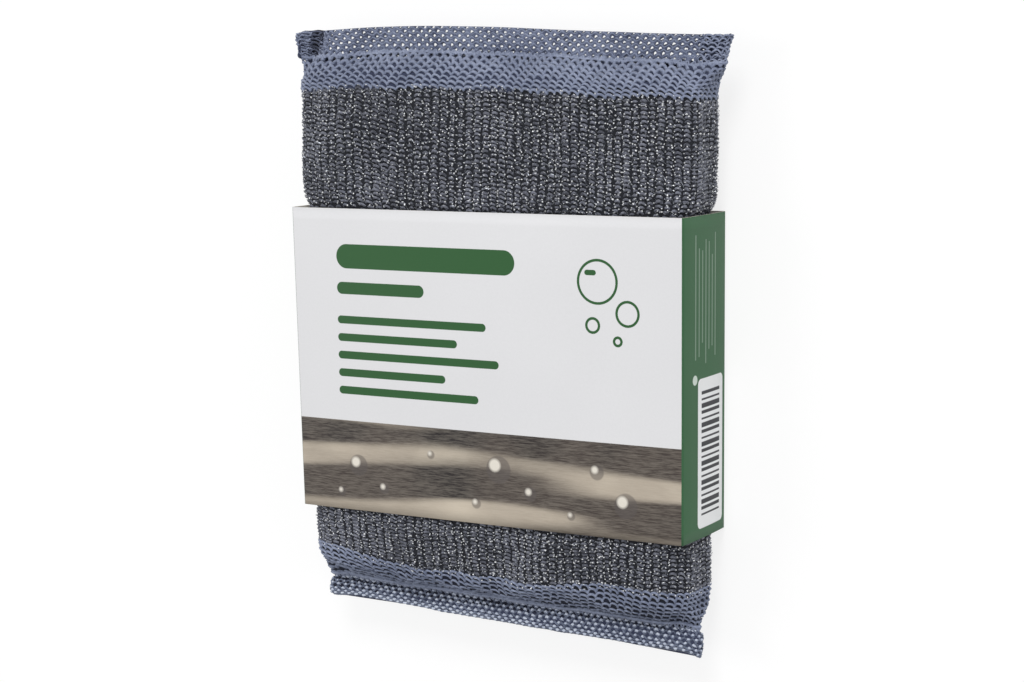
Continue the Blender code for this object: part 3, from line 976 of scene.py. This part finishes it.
def top_level(offset):
    """Courses above the sleeve run straight, in waves that they share and one of their own."""
    def level_of(turn):
        own_wave = (0.25, 3.1, 400 * offset)
        return TOP_WIRE_Y + offset + waves(side_of(turn), (own_wave, *TOP_WAVES))
    return level_of


def bottom_level(offset):
    """Courses below the sleeve rise to both sides, because the tube was sewn off its grain."""
    def level_of(turn):
        side = side_of(turn)
        rise = GRAIN_RISE_LEFT * smooth(-side, 0.45, 1.05)
        rise += GRAIN_RISE_RIGHT * smooth(side, 0.2, 0.65)
        return BOTTOM_GRAIN_Y + rise + waves(side, BOTTOM_WAVES) + offset
    return level_of


def seam_level(seam, offset):
    def level_of(turn):
        return seam + offset + 0.0 * turn
    return level_of


# %% Knit the two bands of plain yarn
BAND_OVERLAP = 0.45 * MM
WIDER_BY_ROW = 0.036 * MM


def knit_zone(name, rows, stitch, radius, material, limits, lean=0.0, shift=0.0, ears=False):
    """A piece of knitting: rows is a list of level functions."""
    curve = yarn_curve(name, radius)
    if material == painted_shade_wire:
        curve["twisted"] = True
    for number, level_of in enumerate(rows):
        drift = random.normal(0.0, stitch["sway"])
        path = course(level_of, stitch, lean * number, shift + drift)
        add_course(curve, path, *limits, ears)
    return finish_yarn(curve, material)


top_band_rows = [top_level((k + 0.5) * BAND_COURSE) for k in range(9)]
knit_zone("top_band_knit", top_band_rows, BAND_STITCH, BAND_YARN, plain_yarn,
          (0.0, TOP_SEAM_Y + BAND_OVERLAP), lean=0.10)
bottom_band_rows = [bottom_level(-(k + 0.5) * BAND_COURSE - WIDER_BY_ROW * k ** 2)
                    for k in range(12)]
knit_zone("bottom_band_knit", bottom_band_rows, LOWER_STITCH, LOWER_YARN, plain_yarn,
          (BOTTOM_SEAM_Y - 0.1 * MM, 0.0), lean=-0.10)

# %% [markdown]
# ## Yarn and wire together
# In the middle zone the yarn has a thin stainless wire laid on it. Here every second
# course of yarn carries one. The wire takes its own slightly uneven path, and glints
# where it turns towards a light. Its colour is painted shade, far darker than bare steel.

# %% Knit the wire zones
HIDDEN = 2.2 * MM
top_wire_count = int((TOP_WIRE_LENGTH + HIDDEN) / WIRE_COURSE)
bottom_wire_count = int((SLEEVE_BOTTOM_Y + HIDDEN - BOTTOM_GRAIN_Y) / WIRE_COURSE)
top_wire_rows = [top_level(-(k + 0.5) * WIRE_COURSE) for k in range(top_wire_count)]
bottom_wire_rows = [bottom_level((k + 0.5) * WIRE_COURSE) for k in range(bottom_wire_count)]
TOP_LIMITS = (SLEEVE_TOP_Y - HIDDEN, TOP_SEAM_Y)
BOTTOM_LIMITS = (BOTTOM_SEAM_Y, SLEEVE_BOTTOM_Y + HIDDEN)
half = top_wire_count // 2
for name, rows, limits in (
        ("upper_wire_knit_a", top_wire_rows[:half], TOP_LIMITS),
        ("upper_wire_knit_b", top_wire_rows[half:], TOP_LIMITS),
        ("lower_wire_knit", bottom_wire_rows, BOTTOM_LIMITS)):
    knit_zone(name, rows, WIRE_STITCH, WIRE_YARN, wire_yarn, limits)
for name, rows, limits in (
        ("upper_steel_wire", top_wire_rows[::2], TOP_LIMITS),
        ("lower_steel_wire", bottom_wire_rows[::2], BOTTOM_LIMITS)):
    knit_zone(name, rows, STEEL_STITCH, STEEL_WIRE, painted_shade_wire, limits, shift=0.12)

# %% [markdown]
# ## Glints
# Only where the wire turns towards the eye does it shine, so the eye sees specks and not
# lines. Short pieces of bright wire stand along each course, about two for each loop and
# a quarter of a millimetre long, each moved and turned a little at random. Their near white
# colour is a painted highlight. Places drawn fully at random would clump, so each starts
# from an even place.

# %% Let the wire glint
GLINT_SHARE = 1.9
GLINT_LENGTH = 0.25 * MM
GLINT_SWAY = 0.20
GLINT_STEP = 0.45 * MM
GLINT_SIZES = (0.6, 1.3)
GLINT_LIFTS = (0.18 * MM, 0.46 * MM)
GLINT_TIP = 0.05 * MM
GLINT_START = 0.6 * MM
EDGE_THINNING = 0.6


def add_glints(name, rows):
    curve = yarn_curve(name, GLINT_WIRE)
    count = round(WALES * GLINT_SHARE)
    girth = 4 * HELD_HALF_WIDTH
    for level_of in rows:
        wale = np.arange(count) / GLINT_SHARE + random.normal(0.0, GLINT_SWAY, count)
        turn = turn_of(wale)
        level = level_of(turn) + random.uniform(-GLINT_STEP, GLINT_STEP, count)
        angle = random.uniform(0.0, math.pi, count)
        reach = GLINT_LENGTH / 2 * random.uniform(*GLINT_SIZES, count)
        size = random.uniform(*GLINT_SIZES, count)
        across = reach * np.cos(angle) / girth
        along = reach * np.sin(angle)
        high = random.uniform(*GLINT_LIFTS, count)
        tip = random.uniform(-GLINT_TIP, GLINT_TIP, count)
        path = [on_cover((turn + part * across) % 1.0, level + part * along,
                         high + part * tip) for part in (-1, 1)]
        at_edge = smooth(np.abs(side_of(turn)), 0.9, 1.02)
        kept = random.random(count) > EDGE_THINNING * at_edge
        for index in np.flatnonzero((past_sleeve(level) > GLINT_START) & kept):
            points = np.array([place[index] for place in path])
            add_spline(curve, points, np.full(2, size[index]), False)
    finish_yarn(curve, stainless)


add_glints("upper_glints", top_wire_rows + top_band_rows[:1])
add_glints("lower_glints", bottom_wire_rows + bottom_band_rows[:1])

# %% [markdown]
# ## The flared welt
# Past the top seam the two layers stand as one open fabric, and light shows through its
# small round holes. A grid with every second cell inset and opened makes such a fabric:
# its rows stagger by themselves. The ears at the two ends are gathered, so they stay
# closed. Yarn runs between the holes, in front and behind.

# %% Open the holes of the flared welt
# Faces further into the crease than this are given painted shade
CREASE_SHADE = 0.0020
HOLE_INSET = 0.05
HOLE_ROWS = 5


def open_fabric():
    """The grid is drawn with cells of size 1, which makes its insets even, then bent."""
    columns, rows = WALES, HOLE_ROWS
    bm = bmesh.new()
    bmesh.ops.create_grid(bm, x_segments=columns, y_segments=rows + 1, size=1.0)
    bm.faces.ensure_lookup_table()
    opened, pressed = [], []
    for face in bm.faces:
        middle = face.calc_center_median()
        column = math.floor((middle.x + 1) / 2 * columns)
        row = math.floor((middle.y + 1) / 2 * (rows + 1))
        if (column + row) % 2 == 0:
            chosen = opened if abs(middle.x) < EAR_SIDE else pressed
            chosen.append(face)
    for vert in bm.verts:
        vert.co.x *= columns / 2
        vert.co.y *= (rows + 1) / 2
    bmesh.ops.inset_individual(bm, faces=opened, thickness=HOLE_INSET, use_even_offset=True)
    for face in opened:
        shrink = random.uniform(0.95, 1.25)
        middle = face.calc_center_median()
        bmesh.ops.scale(bm, verts=face.verts[:], vec=(shrink, shrink, 1.0),
                        space=Matrix.Translation(-middle))
    bmesh.ops.delete(bm, geom=opened, context="FACES_ONLY")
    bmesh.ops.inset_individual(bm, faces=pressed, thickness=0.22, depth=-0.5,
                               use_even_offset=True)
    flat = np.array([vert.co for vert in bm.verts])
    ends = 0.25 + RIGHT_GATHER / (2 * math.pi), -0.25 + RIGHT_GATHER / (2 * math.pi)
    turn = turn_of(WALES * blend(ends[1], ends[0], flat[:, 0] / columns + 0.5))
    level = TOP_SEAM_Y + (flat[:, 1] / (rows + 1) + 0.5) * (WELT_REACH + 0.2 * MM)
    places = on_cover(turn, level, (flat[:, 2] - 0.35) * MM)
    for vert, place in zip(bm.verts, places):
        vert.co = place
    bmesh.ops.recalc_face_normals(bm, faces=bm.faces[:])
    return mesh_of(bm, "top_welt_fabric")


fabric_mesh = open_fabric()
shade_smooth(fabric_mesh)
for material in (open_yarn, plain_backing, deep_shade_backing):
    fabric_mesh.materials.append(material)
for face in fabric_mesh.polygons:
    if abs(face.center.x) > EAR_SIDE * TOP_SEAM_HALF_WIDTH:
        face.material_index = 1
    # Faces in the crease take the darkest backing, as painted shade
    if crease(face.center.x, face.center.y) > CREASE_SHADE:
        face.material_index = 2
fabric = add_piece("top_welt_fabric", fabric_mesh)
rounder = fabric.modifiers.new("rounder", "SUBSURF")
rounder.levels = rounder.render_levels = 1
wall = fabric.modifiers.new("wall", "SOLIDIFY")
wall.thickness = 0.45 * MM
wall.offset = 0.0
print("open fabric:", len(fabric_mesh.polygons), "faces")

# %% Knit over the flared welt
ear_rows = [seam_level(TOP_SEAM_Y, (k + 0.4) * EAR_COURSE) for k in range(7)]
knit_zone("top_ear_knit", ear_rows, EAR_STITCH, EAR_YARN, ear_yarn,
          (TOP_SEAM_Y - 0.2 * MM, TOP_EDGE + MM), lean=0.12, ears=True)
gathered = bpy.data.objects["top_ear_knit"].data
# Yarn in the crease takes a darker copy of the yarn, as painted shade
gathered.materials.append(crease_shade_yarn)
for face in gathered.polygons:
    if crease(face.center.x, face.center.y) > CREASE_SHADE:
        face.material_index = 1
top_welt_rows = [seam_level(TOP_SEAM_Y, k * HOLE_COURSE) for k in range(1, 6)]
knit_zone("top_welt_knit", top_welt_rows, WELT_STITCH, WELT_YARN, plain_yarn,
          (TOP_SEAM_Y, TOP_EDGE + MM), lean=0.5,
          shift=0.75 + WALES * RIGHT_GATHER / (2 * math.pi))

# %% [markdown]
# ## The curled welt
# The bottom welt curls into a fat roll. A net of dark yarn lies close on it, and the heads
# of a lighter yarn stand out of the net as dots. The net's dark tone is painted shade on
# the roll, and the dots' near white is painted light.

# %% Knit the curled welt
roll_rows = [seam_level(BOTTOM_SEAM_Y, -(k + 0.8) * DOT_COURSE) for k in range(7)]
knit_zone("bottom_welt_net", roll_rows, ROLL_STITCH, ROLL_YARN, roll_shade_yarn,
          (BOTTOM_EDGE - MM, BOTTOM_SEAM_Y), lean=0.5, shift=0.5)
knit_zone("bottom_welt_dots", roll_rows[:6], DOT_STITCH, DOT_YARN, painted_light_dot_yarn,
          (BOTTOM_EDGE - MM, BOTTOM_SEAM_Y), lean=0.5)

# %% [markdown]
# ## The seams
# Each end is closed by a row of overlocked stitches that pulls the two layers together.
# One thread goes to and fro over the seam, and one runs straight along it.

# %% Sew the seams
STITCH = 1.5 * MM
THREAD = 0.22 * MM
SEAM_SWING = 0.35 * MM
SEAM_LIFT = 0.35 * MM
SEAM_OFFSET = 0.1 * MM
POINTS_PER_STITCH = 6


def sew(name, seam, node, towards_welt, ridge):
    curve = yarn_curve(name, THREAD)
    girth = 4 * TOP_SEAM_HALF_WIDTH
    stitches = round(girth / STITCH)
    count = stitches * POINTS_PER_STITCH
    phase = np.arange(count) / POINTS_PER_STITCH * 2 * math.pi
    turn = np.arange(count) / count
    level = seam + towards_welt * SEAM_OFFSET + SEAM_SWING * np.sin(phase)
    lift = SEAM_LIFT + 0.10 * MM * np.cos(2 * phase)
    lift -= SEAM_LIFT * smooth(np.abs(side_of(turn)), 0.96, 1.04)
    add_spline(curve, on_cover(turn, level, lift), np.ones(count), True)
    straight = seam + 0.0 * phase
    add_spline(curve, on_cover(turn, straight, 0.30 * MM + 0.05 * MM * np.cos(phase)),
               np.full(count, ridge), True)
    piece = finish_yarn(curve, seam_yarn)
    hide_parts(node)


sew("top_seam_stitches", TOP_SEAM_Y, "top_seam_thread", 1.0, 1.4)
sew("bottom_seam_stitches", BOTTOM_SEAM_Y, "bottom_seam_thread", -1.0, 1.8)

# %% [markdown]
# ## The foam
# The foam is out of sight inside the cover, for anyone who takes the cover off. It is the
# same net, moved inwards by the thickness of the knit, with a finish of open cells.

# %% Finish the foam
def make_foam():
    material, tree, shader = new_material("open_cell_foam", 0.95)
    cells = tree.nodes.new("ShaderNodeTexVoronoi")
    cells.inputs["Scale"].default_value = 1400
    tree.links.new(object_place(tree), cells.inputs["Vector"])
    depth = cells.outputs["Distance"]
    tone = mix_colour(tree, depth, srgb(168, 156, 116), srgb(232, 222, 188))
    tree.links.new(tone, shader.inputs["Base Color"])
    normal = bump_normal(tree, depth, 0.8, 0.0004)
    tree.links.new(normal, shader.inputs["Normal"])
    return material


FOAM_INSET = 1.3 * MM
SEAM_ROOM = 2.0 * MM
inner_net = net - net_normals(net) * FOAM_INSET
first_row = int(np.searchsorted(ROW_LEVELS, BOTTOM_SEAM_Y + SEAM_ROOM))
last_row = int(np.searchsorted(ROW_LEVELS, TOP_SEAM_Y - SEAM_ROOM))
foam_mesh = rolled_tube(inner_net[first_row:last_row], "foam_slab")
foam_mesh.materials.append(make_foam())
shade_smooth(foam_mesh)
foam = add_piece("foam_slab", foam_mesh)
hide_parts("foam_core")

# %% [markdown]
# ## The sleeve
# One strip of card is folded round the pad: back panel, right side, front, left side and
# a flap that is glued under the back panel. The strip is drawn as a row of points, pulled
# along the pad in steps, and then given the thickness of card. Its top edge stands a
# little wider than its bottom one, as the spring of the pad pushes it.

# %% Fold the card
SLEEVE_HALF_WIDTH = 0.046
SLEEVE_THICKNESS = 0.020
CARD = 0.00035
FOLD_RADIUS = 0.0007
FOLD_STEPS = 5
SLEEVE_STEPS = 26
PANEL_STEPS = 14
SIDE_STEPS = 6
FLAP_STEPS = 4
BACK_EDGE_X = -0.042
FLAP_EDGE_X = -0.030
GLUE = 0.00003
SPLAY_LEFT = 0.0012
SPLAY_RIGHT = 0.0004
BOW = 0.0003


def fold(centre_x, centre_z, start_degrees):
    angles = np.radians(start_degrees + np.linspace(0, 90, FOLD_STEPS + 1))
    return [(centre_x + FOLD_RADIUS * math.cos(angle),
             centre_z + FOLD_RADIUS * math.sin(angle)) for angle in angles]


def between(start, end, steps):
    """Points on the straight panel between two folds, without its ends."""
    return [(blend(start[0], end[0], i / steps), blend(start[1], end[1], i / steps))
            for i in range(1, steps)]


def strip_line():
    """The card seen end on, from the back panel's edge round to the flap's edge."""
    side = SLEEVE_HALF_WIDTH - FOLD_RADIUS
    high = SLEEVE_THICKNESS - FOLD_RADIUS
    inner = CARD + GLUE
    folds = [fold(side, FOLD_RADIUS, 270), fold(side, high, 0), fold(-side, high, 90),
             fold(-side, inner + FOLD_RADIUS, 180)]
    first, last = (BACK_EDGE_X, 0.0), (FLAP_EDGE_X, inner)
    line = [first] + between(first, folds[0][0], PANEL_STEPS) + folds[0]
    for before, after, steps in zip(folds, folds[1:], (SIDE_STEPS, PANEL_STEPS, SIDE_STEPS)):
        line += between(before[-1], after[0], steps) + after
    return line + between(folds[3][-1], last, FLAP_STEPS) + [last]


def card_place(point):
    """Where the folded card really stands: splayed at the top, bowed on the front."""
    up = (point.y - SLEEVE_BOTTOM_Y) / (SLEEVE_TOP_Y - SLEEVE_BOTTOM_Y)
    splay = SPLAY_RIGHT if point.x > 0 else SPLAY_LEFT
    x = point.x * (1 + splay / SLEEVE_HALF_WIDTH * (up - 0.1))
    front = float(smooth(point.z, 0.6 * SLEEVE_THICKNESS, SLEEVE_THICKNESS))
    centre = 1 - (point.x / SLEEVE_HALF_WIDTH) ** 2
    side = float(smooth(abs(point.x), 0.9 * SLEEVE_HALF_WIDTH, SLEEVE_HALF_WIDTH))
    bulge = BOW * math.sin(math.pi * min(max(point.z / SLEEVE_THICKNESS, 0), 1)) * side
    x += math.copysign(bulge, point.x)
    z = point.z + front * centre * BOW * (0.4 + 0.6 * math.sin(math.pi * up))
    return Vector((x, point.y, z))


def build_sleeve():
    bm = bmesh.new()
    line = [bm.verts.new((x, SLEEVE_BOTTOM_Y, z)) for x, z in strip_line()]
    edges = [bm.edges.new(pair) for pair in zip(line, line[1:])]
    step = (SLEEVE_TOP_Y - SLEEVE_BOTTOM_Y) / SLEEVE_STEPS
    for _ in range(SLEEVE_STEPS):
        grown = bmesh.ops.extrude_edge_only(bm, edges=edges)["geom"]
        moved = [item for item in grown if isinstance(item, bmesh.types.BMVert)]
        edges = [item for item in grown if isinstance(item, bmesh.types.BMEdge)]
        bmesh.ops.translate(bm, verts=moved, vec=(0.0, step, 0.0))
    for vert in bm.verts:
        vert.co = card_place(vert.co)
    bmesh.ops.recalc_face_normals(bm, faces=bm.faces[:])
    # The strip is open at its ends, so its faces may all have come out facing inwards
    outward = sum(face.normal.z * (face.calc_center_median().z - MIDDLE_Z) for face in bm.faces)
    if outward < 0:
        bmesh.ops.reverse_faces(bm, faces=bm.faces[:])
    return mesh_of(bm, "printed_sleeve")


# %% [markdown]
# ## The print
# The print is generic: an off-white front with green bars in place of words, a strip of
# brushed metal with drops along the bottom, and green sides with a white label. All of it
# is drawn from Object coordinates by one small node group, which masks a bar with
# rounded ends. A circle is a bar whose corner is as large as its half height.

# %% The bar group
def make_bar_group():
    """1 inside a rounded rectangle in the plane of X and Y of Place."""
    group, given, result = new_group(
        "rounded_bar",
        [("Place", "Vector"), ("Centre X", "Float"), ("Centre Y", "Float"),
         ("Half Width", "Float", 0.01), ("Half Height", "Float", 0.001),
         ("Corner", "Float", 0.001), ("Soft", "Float", 0.00008)],
        [("Mask", "Float")])
    axes = group.nodes.new("ShaderNodeSeparateXYZ")
    group.links.new(given.outputs["Place"], axes.inputs[0])
    gaps = []
    for axis, centre, half_size in ((0, "Centre X", "Half Width"), (1, "Centre Y", "Half Height")):
        offset = math_node(group, "SUBTRACT", axes.outputs[axis], given.outputs[centre])
        inner = math_node(group, "SUBTRACT", given.outputs[half_size], given.outputs["Corner"])
        gap = math_node(group, "SUBTRACT", math_node(group, "ABSOLUTE", offset), inner)
        gaps.append(math_node(group, "MAXIMUM", gap, 0.0))
    squares = [math_node(group, "MULTIPLY", gap, gap) for gap in gaps]
    reach = math_node(group, "SQRT", math_node(group, "ADD", *squares))
    inside = math_node(group, "SUBTRACT", given.outputs["Corner"], reach)
    share = math_node(group, "DIVIDE", inside, given.outputs["Soft"])
    edge = math_node(group, "ADD", share, 0.5)
    node = group.nodes.new("ShaderNodeClamp")
    group.links.new(edge, node.inputs[0])
    group.links.new(node.outputs[0], result.inputs["Mask"])
    return group


BAR = make_bar_group()


def bar(tree, place, centre, half_size, corner=None, soft=0.00008):
    """The mask of one bar. Sizes are in millimetres, apart from its soft edge in metres."""
    node = use_group(tree, BAR, place)
    corner = min(half_size) if corner is None else corner
    values = (centre[0], centre[1], half_size[0], half_size[1], corner)
    for socket, value in zip(node.inputs[1:6], values):
        socket.default_value = value * MM
    node.inputs["Soft"].default_value = soft
    return node.outputs["Mask"]


def union(tree, masks):
    total = masks[0]
    for mask in masks[1:]:
        total = math_node(tree, "MAXIMUM", total, mask)
    return total


# %% The paper group
def make_paper_group():
    """The grain of coated card: a faint change of tone and a very low relief."""
    group, given, result = new_group(
        "card_grain", [("Place", "Vector"), ("Color", "Color", (1, 1, 1, 1))],
        [("Color", "Color"), ("Height", "Float"), ("Roughness", "Float")])
    fine = noise_value(group, given.outputs["Place"], 2200, 3.0, 0.6)
    slow = noise_value(group, given.outputs["Place"], 28, 2.0, 0.5)
    shade = ranged(group, slow, 0.25, 0.75, 0.965, 1.0)
    speck = ranged(group, fine, 0.2, 0.8, 0.975, 1.0)
    both = math_node(group, "MULTIPLY", shade, speck)
    grey = group.nodes.new("ShaderNodeCombineColor")
    for socket in grey.inputs[:3]:
        group.links.new(both, socket)
    colour = mix_colour(group, 1.0, given.outputs["Color"], grey.outputs[0], "MULTIPLY")
    group.links.new(colour, result.inputs["Color"])
    group.links.new(fine, result.inputs["Height"])
    rough = ranged(group, slow, 0.2, 0.8, 0.42, 0.54)
    group.links.new(rough, result.inputs["Roughness"])
    return group


PAPER = make_paper_group()


def finish_card(tree, shader, place, colour):
    """The card's grain over a printed colour."""
    node = use_group(tree, PAPER, place)
    if isinstance(colour, tuple):
        node.inputs["Color"].default_value = colour
    else:
        tree.links.new(colour, node.inputs["Color"])
    tree.links.new(node.outputs["Color"], shader.inputs["Base Color"])
    tree.links.new(node.outputs["Roughness"], shader.inputs["Roughness"])
    normal = bump_normal(tree, node.outputs["Height"], 0.25, 0.00005)
    tree.links.new(normal, shader.inputs["Normal"])
    shader.inputs["Specular IOR Level"].default_value = 0.25


# %% The front panel
PAPER_WHITE = srgb(227, 227, 229)
PRINT_GREEN = srgb(46, 92, 50)
STRIP_TOP_MM = -19.4
# Bars are (x, y, half width, half height), drops and bubbles (x, y, radius), in millimetres
BARS = ((-13.5, 16.0, 22.0, 2.6), (-24.5, 9.2, 11.0, 1.3), (-17.0, 2.4, 18.5, 0.85),
        (-20.5, -1.4, 15.0, 0.85), (-15.5, -5.2, 20.0, 0.85), (-22.0, -9.0, 13.5, 0.85),
        (-18.0, -12.8, 17.5, 0.85))
BUBBLES = ((27.5, 13.0, 4.6), (34.2, 6.8, 2.7), (26.4, 4.2, 1.7), (32.0, 1.2, 1.1))
BUBBLE_LINE = 0.55
DROPS = ((-31, -29, 2.3), (-24.5, -33.5, 1.2), (-35.5, -35, 1.0), (4, -27, 2.9),
         (11.5, -31.5, 1.5), (-1.5, -34.6, 1.1), (27, -25.6, 1.6), (33.5, -32, 2.6),
         (21, -35.2, 0.9), (-12.5, -25.2, 0.9))


def strip_colour(tree, place):
    """Brushed warm metal with soft slanting lights and a few round drops."""
    mapping = tree.nodes.new("ShaderNodeMapping")
    mapping.inputs["Rotation"].default_value = (0.0, 0.0, math.radians(-24))
    mapping.inputs["Scale"].default_value = (1.0, 14.0, 1.0)
    tree.links.new(place, mapping.inputs["Vector"])
    brushed = noise_value(tree, mapping.outputs[0], 420, 3.0, 0.6)
    bands = noise_value(tree, mapping.outputs[0], 9, 1.0, 0.4)
    clouds = noise_value(tree, place, 38, 2.0, 0.5)
    base = mix_colour(tree, ranged(tree, bands, 0.465, 0.545, 0.0, 1.0),
                      srgb(24, 19, 23), srgb(206, 194, 176))
    base = mix_colour(tree, ranged(tree, clouds, 0.40, 0.62, 0.0, 0.35), base,
                      srgb(104, 92, 84))
    base = mix_colour(tree, ranged(tree, brushed, 0.3, 0.7, 0.0, 0.16), base,
                      srgb(226, 216, 200))
    discs, lights = [], []
    for x, y, radius in DROPS:
        discs.append(bar(tree, place, (x, y), (radius, radius), soft=0.0003))
        lights.append(bar(tree, place, (x - radius * 0.3, y + radius * 0.3),
                          (radius * 0.45, radius * 0.45), soft=0.0006))
    base = mix_colour(tree, math_node(tree, "MULTIPLY", union(tree, discs), 0.55), base,
                      srgb(92, 86, 84))
    return mix_colour(tree, math_node(tree, "MULTIPLY", union(tree, lights), 0.85), base,
                      srgb(244, 238, 226))


def make_front():
    material, tree, shader = new_material("front_print", 0.4)
    place = object_place(tree)
    marks = [bar(tree, place, (x, y), half_size) for x, y, *half_size in BARS]
    for x, y, radius in BUBBLES:
        disc = bar(tree, place, (x, y), (radius, radius))
        hole = bar(tree, place, (x, y), (radius - BUBBLE_LINE, radius - BUBBLE_LINE))
        marks.append(math_node(tree, "SUBTRACT", disc, hole))
    shine = bar(tree, place, (25.9, 14.8), (1.3, 0.55))
    marks.append(shine)
    colour = mix_colour(tree, union(tree, marks), PAPER_WHITE, PRINT_GREEN)
    axes = tree.nodes.new("ShaderNodeSeparateXYZ")
    tree.links.new(place, axes.inputs[0])
    in_strip = ranged(tree, axes.outputs[1], (STRIP_TOP_MM - 0.05) * MM,
                      (STRIP_TOP_MM + 0.05) * MM, 1.0, 0.0)
    colour = mix_colour(tree, in_strip, colour, strip_colour(tree, place))
    finish_card(tree, shader, place, colour)
    return material


# %% The sides and the back
SIDE_GREEN = srgb(54, 98, 64)


def make_side(labelled):
    """Green card; the right side has a white label with plain bars, and fine lines."""
    name = "labelled_side_print" if labelled else "plain_side_print"
    material, tree, shader = new_material(name, 0.4)
    place = object_place(tree)
    colour = SIDE_GREEN
    if labelled:
        # On a side X is constant, so the pattern's plane is turned to height and length
        axes = tree.nodes.new("ShaderNodeSeparateXYZ")
        tree.links.new(place, axes.inputs[0])
        flat = tree.nodes.new("ShaderNodeCombineXYZ")
        tree.links.new(axes.outputs[2], flat.inputs[0])
        tree.links.new(axes.outputs[1], flat.inputs[1])
        plane = flat.outputs[0]
        label = bar(tree, plane, (7.6, -21.6), (5.9, 15.2), corner=1.2)
        colour = mix_colour(tree, label, colour, srgb(238, 239, 240))
        lines = [bar(tree, plane, (7.6, -34.0 + 1.3 * k), (4.3, 0.20 + 0.14 * (k % 3)), 0.05)
                 for k in range(20)]
        colour = mix_colour(tree, union(tree, lines), colour, srgb(52, 54, 58))
        small = [bar(tree, plane, (14.6 - 1.5 * k, 10.0 - 1.1 * (k % 2)),
                     (0.22, 12.4 - 1.6 * (k % 3)), 0.1) for k in range(7)]
        faint = math_node(tree, "MULTIPLY", union(tree, small), 0.26)
        colour = mix_colour(tree, faint, colour, srgb(206, 218, 208))
        dot = bar(tree, plane, (14.8, -6.4), (1.0, 1.0))
        colour = mix_colour(tree, dot, colour, srgb(206, 218, 208))
    finish_card(tree, shader, place, colour)
    return material


def make_bare_card():
    """The uncoated inside and the cut edges, with pulp fibres."""
    material, tree, shader = new_material("bare_card", 0.85)
    pulp = noise_value(tree, object_place(tree), 1500, 4.0, 0.7)
    tone = mix_colour(tree, pulp, srgb(196, 190, 178), srgb(226, 222, 212))
    tree.links.new(tone, shader.inputs["Base Color"])
    tree.links.new(bump_normal(tree, pulp, 0.3, 0.00006), shader.inputs["Normal"])
    return material


# %% Put the print on the card
def panel_of(face):
    """0 front, 1 right side, 2 left side and back."""
    centre, normal = face.center, face.normal
    if normal.z > 0.75 and centre.z > MIDDLE_Z:
        return 0
    return 1 if normal.x > 0.65 else 2


sleeve_mesh = build_sleeve()
for material in (make_front(), make_side(True), make_side(False), make_bare_card()):
    sleeve_mesh.materials.append(material)
for face in sleeve_mesh.polygons:
    face.material_index = panel_of(face)
shade_smooth(sleeve_mesh)
sleeve = add_piece("printed_sleeve", sleeve_mesh)
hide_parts("card_sleeve")
board = sleeve.modifiers.new("board", "SOLIDIFY")
board.thickness = CARD
board.offset = -1.0
board.use_even_offset = True
board.material_offset = 3
board.material_offset_rim = 3
print("sleeve:", len(sleeve_mesh.polygons), "faces before its thickness")

# %% [markdown]
# ## Floor, light and world
# The floor is white to the camera but still takes a share of the object's shadow. Three
# large soft lamps and a pale world light the object at a plain level, so a colour
# renders about as it is written.

# %% Lay the floor
FLOOR_SHADOW = 0.25


def make_floor():
    bm = bmesh.new()
    bmesh.ops.create_grid(bm, x_segments=2, y_segments=2, size=3.0)
    mesh = mesh_of(bm, "floor")
    floor = bpy.data.objects.new("floor", mesh)
    bpy.context.scene.collection.objects.link(floor)
    material, tree, shader = new_material("white_floor", 0.9)
    shader.inputs["Base Color"].default_value = (0.9, 0.9, 0.9, 1.0)
    glow = tree.nodes.new("ShaderNodeEmission")
    glow.inputs["Strength"].default_value = 1.06
    path = tree.nodes.new("ShaderNodeLightPath")
    seen = math_node(tree, "MAXIMUM", path.outputs["Is Camera Ray"],
                     path.outputs["Is Glossy Ray"])
    seen = math_node(tree, "MAXIMUM", seen, path.outputs["Is Transmission Ray"])
    share = math_node(tree, "MULTIPLY", seen, 1 - FLOOR_SHADOW)
    mixed = tree.nodes.new("ShaderNodeMixShader")
    tree.links.new(share, mixed.inputs[0])
    tree.links.new(shader.outputs[0], mixed.inputs[1])
    tree.links.new(glow.outputs[0], mixed.inputs[2])
    tree.links.new(mixed.outputs[0], tree.nodes["Material Output"].inputs["Surface"])
    mesh.materials.append(material)
    floor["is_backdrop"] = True


make_floor()

# %% Set the lamps and the world
def add_lamp(name, place, size, power):
    """A round lamp that points at the origin."""
    light = bpy.data.lights.new(name, "AREA")
    light.shape = "DISK"
    light.size = size
    light.energy = power
    lamp = bpy.data.objects.new(name, light)
    lamp.location = place
    lamp.rotation_euler = (-Vector(place)).to_track_quat("-Z", "Y").to_euler()
    bpy.context.scene.collection.objects.link(lamp)


add_lamp("key_lamp", (0.22, 0.80, 0.85), 0.45, 6.2)
add_lamp("side_lamp", (1.05, -0.10, 0.55), 0.40, 1.6)
add_lamp("left_lamp", (-0.70, 0.10, 0.80), 0.45, 2.1)

world = bpy.data.worlds.new("studio")
world.use_nodes = True
bpy.context.scene.world = world
background = world.node_tree.nodes["Background"]
background.inputs["Color"].default_value = (1.0, 1.0, 1.0, 1.0)
rays = world.node_tree.nodes.new("ShaderNodeLightPath")
direct = math_node(world.node_tree, "MAXIMUM", rays.outputs["Is Camera Ray"],
                   rays.outputs["Is Transmission Ray"])
strength = math_node(world.node_tree, "MULTIPLY_ADD", direct, 0.5, 0.5)
world.node_tree.links.new(strength, background.inputs["Strength"])
bpy.context.scene.view_settings.view_transform = "Standard"

# %% Measure the size
visual_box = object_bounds()
sizes = {"cad": [list(corner) for corner in cad_box],
         "visual": [list(corner) for corner in visual_box]}
for name, box in sizes.items():
    print(name, [round(high - low, 4) for low, high in zip(*box)])
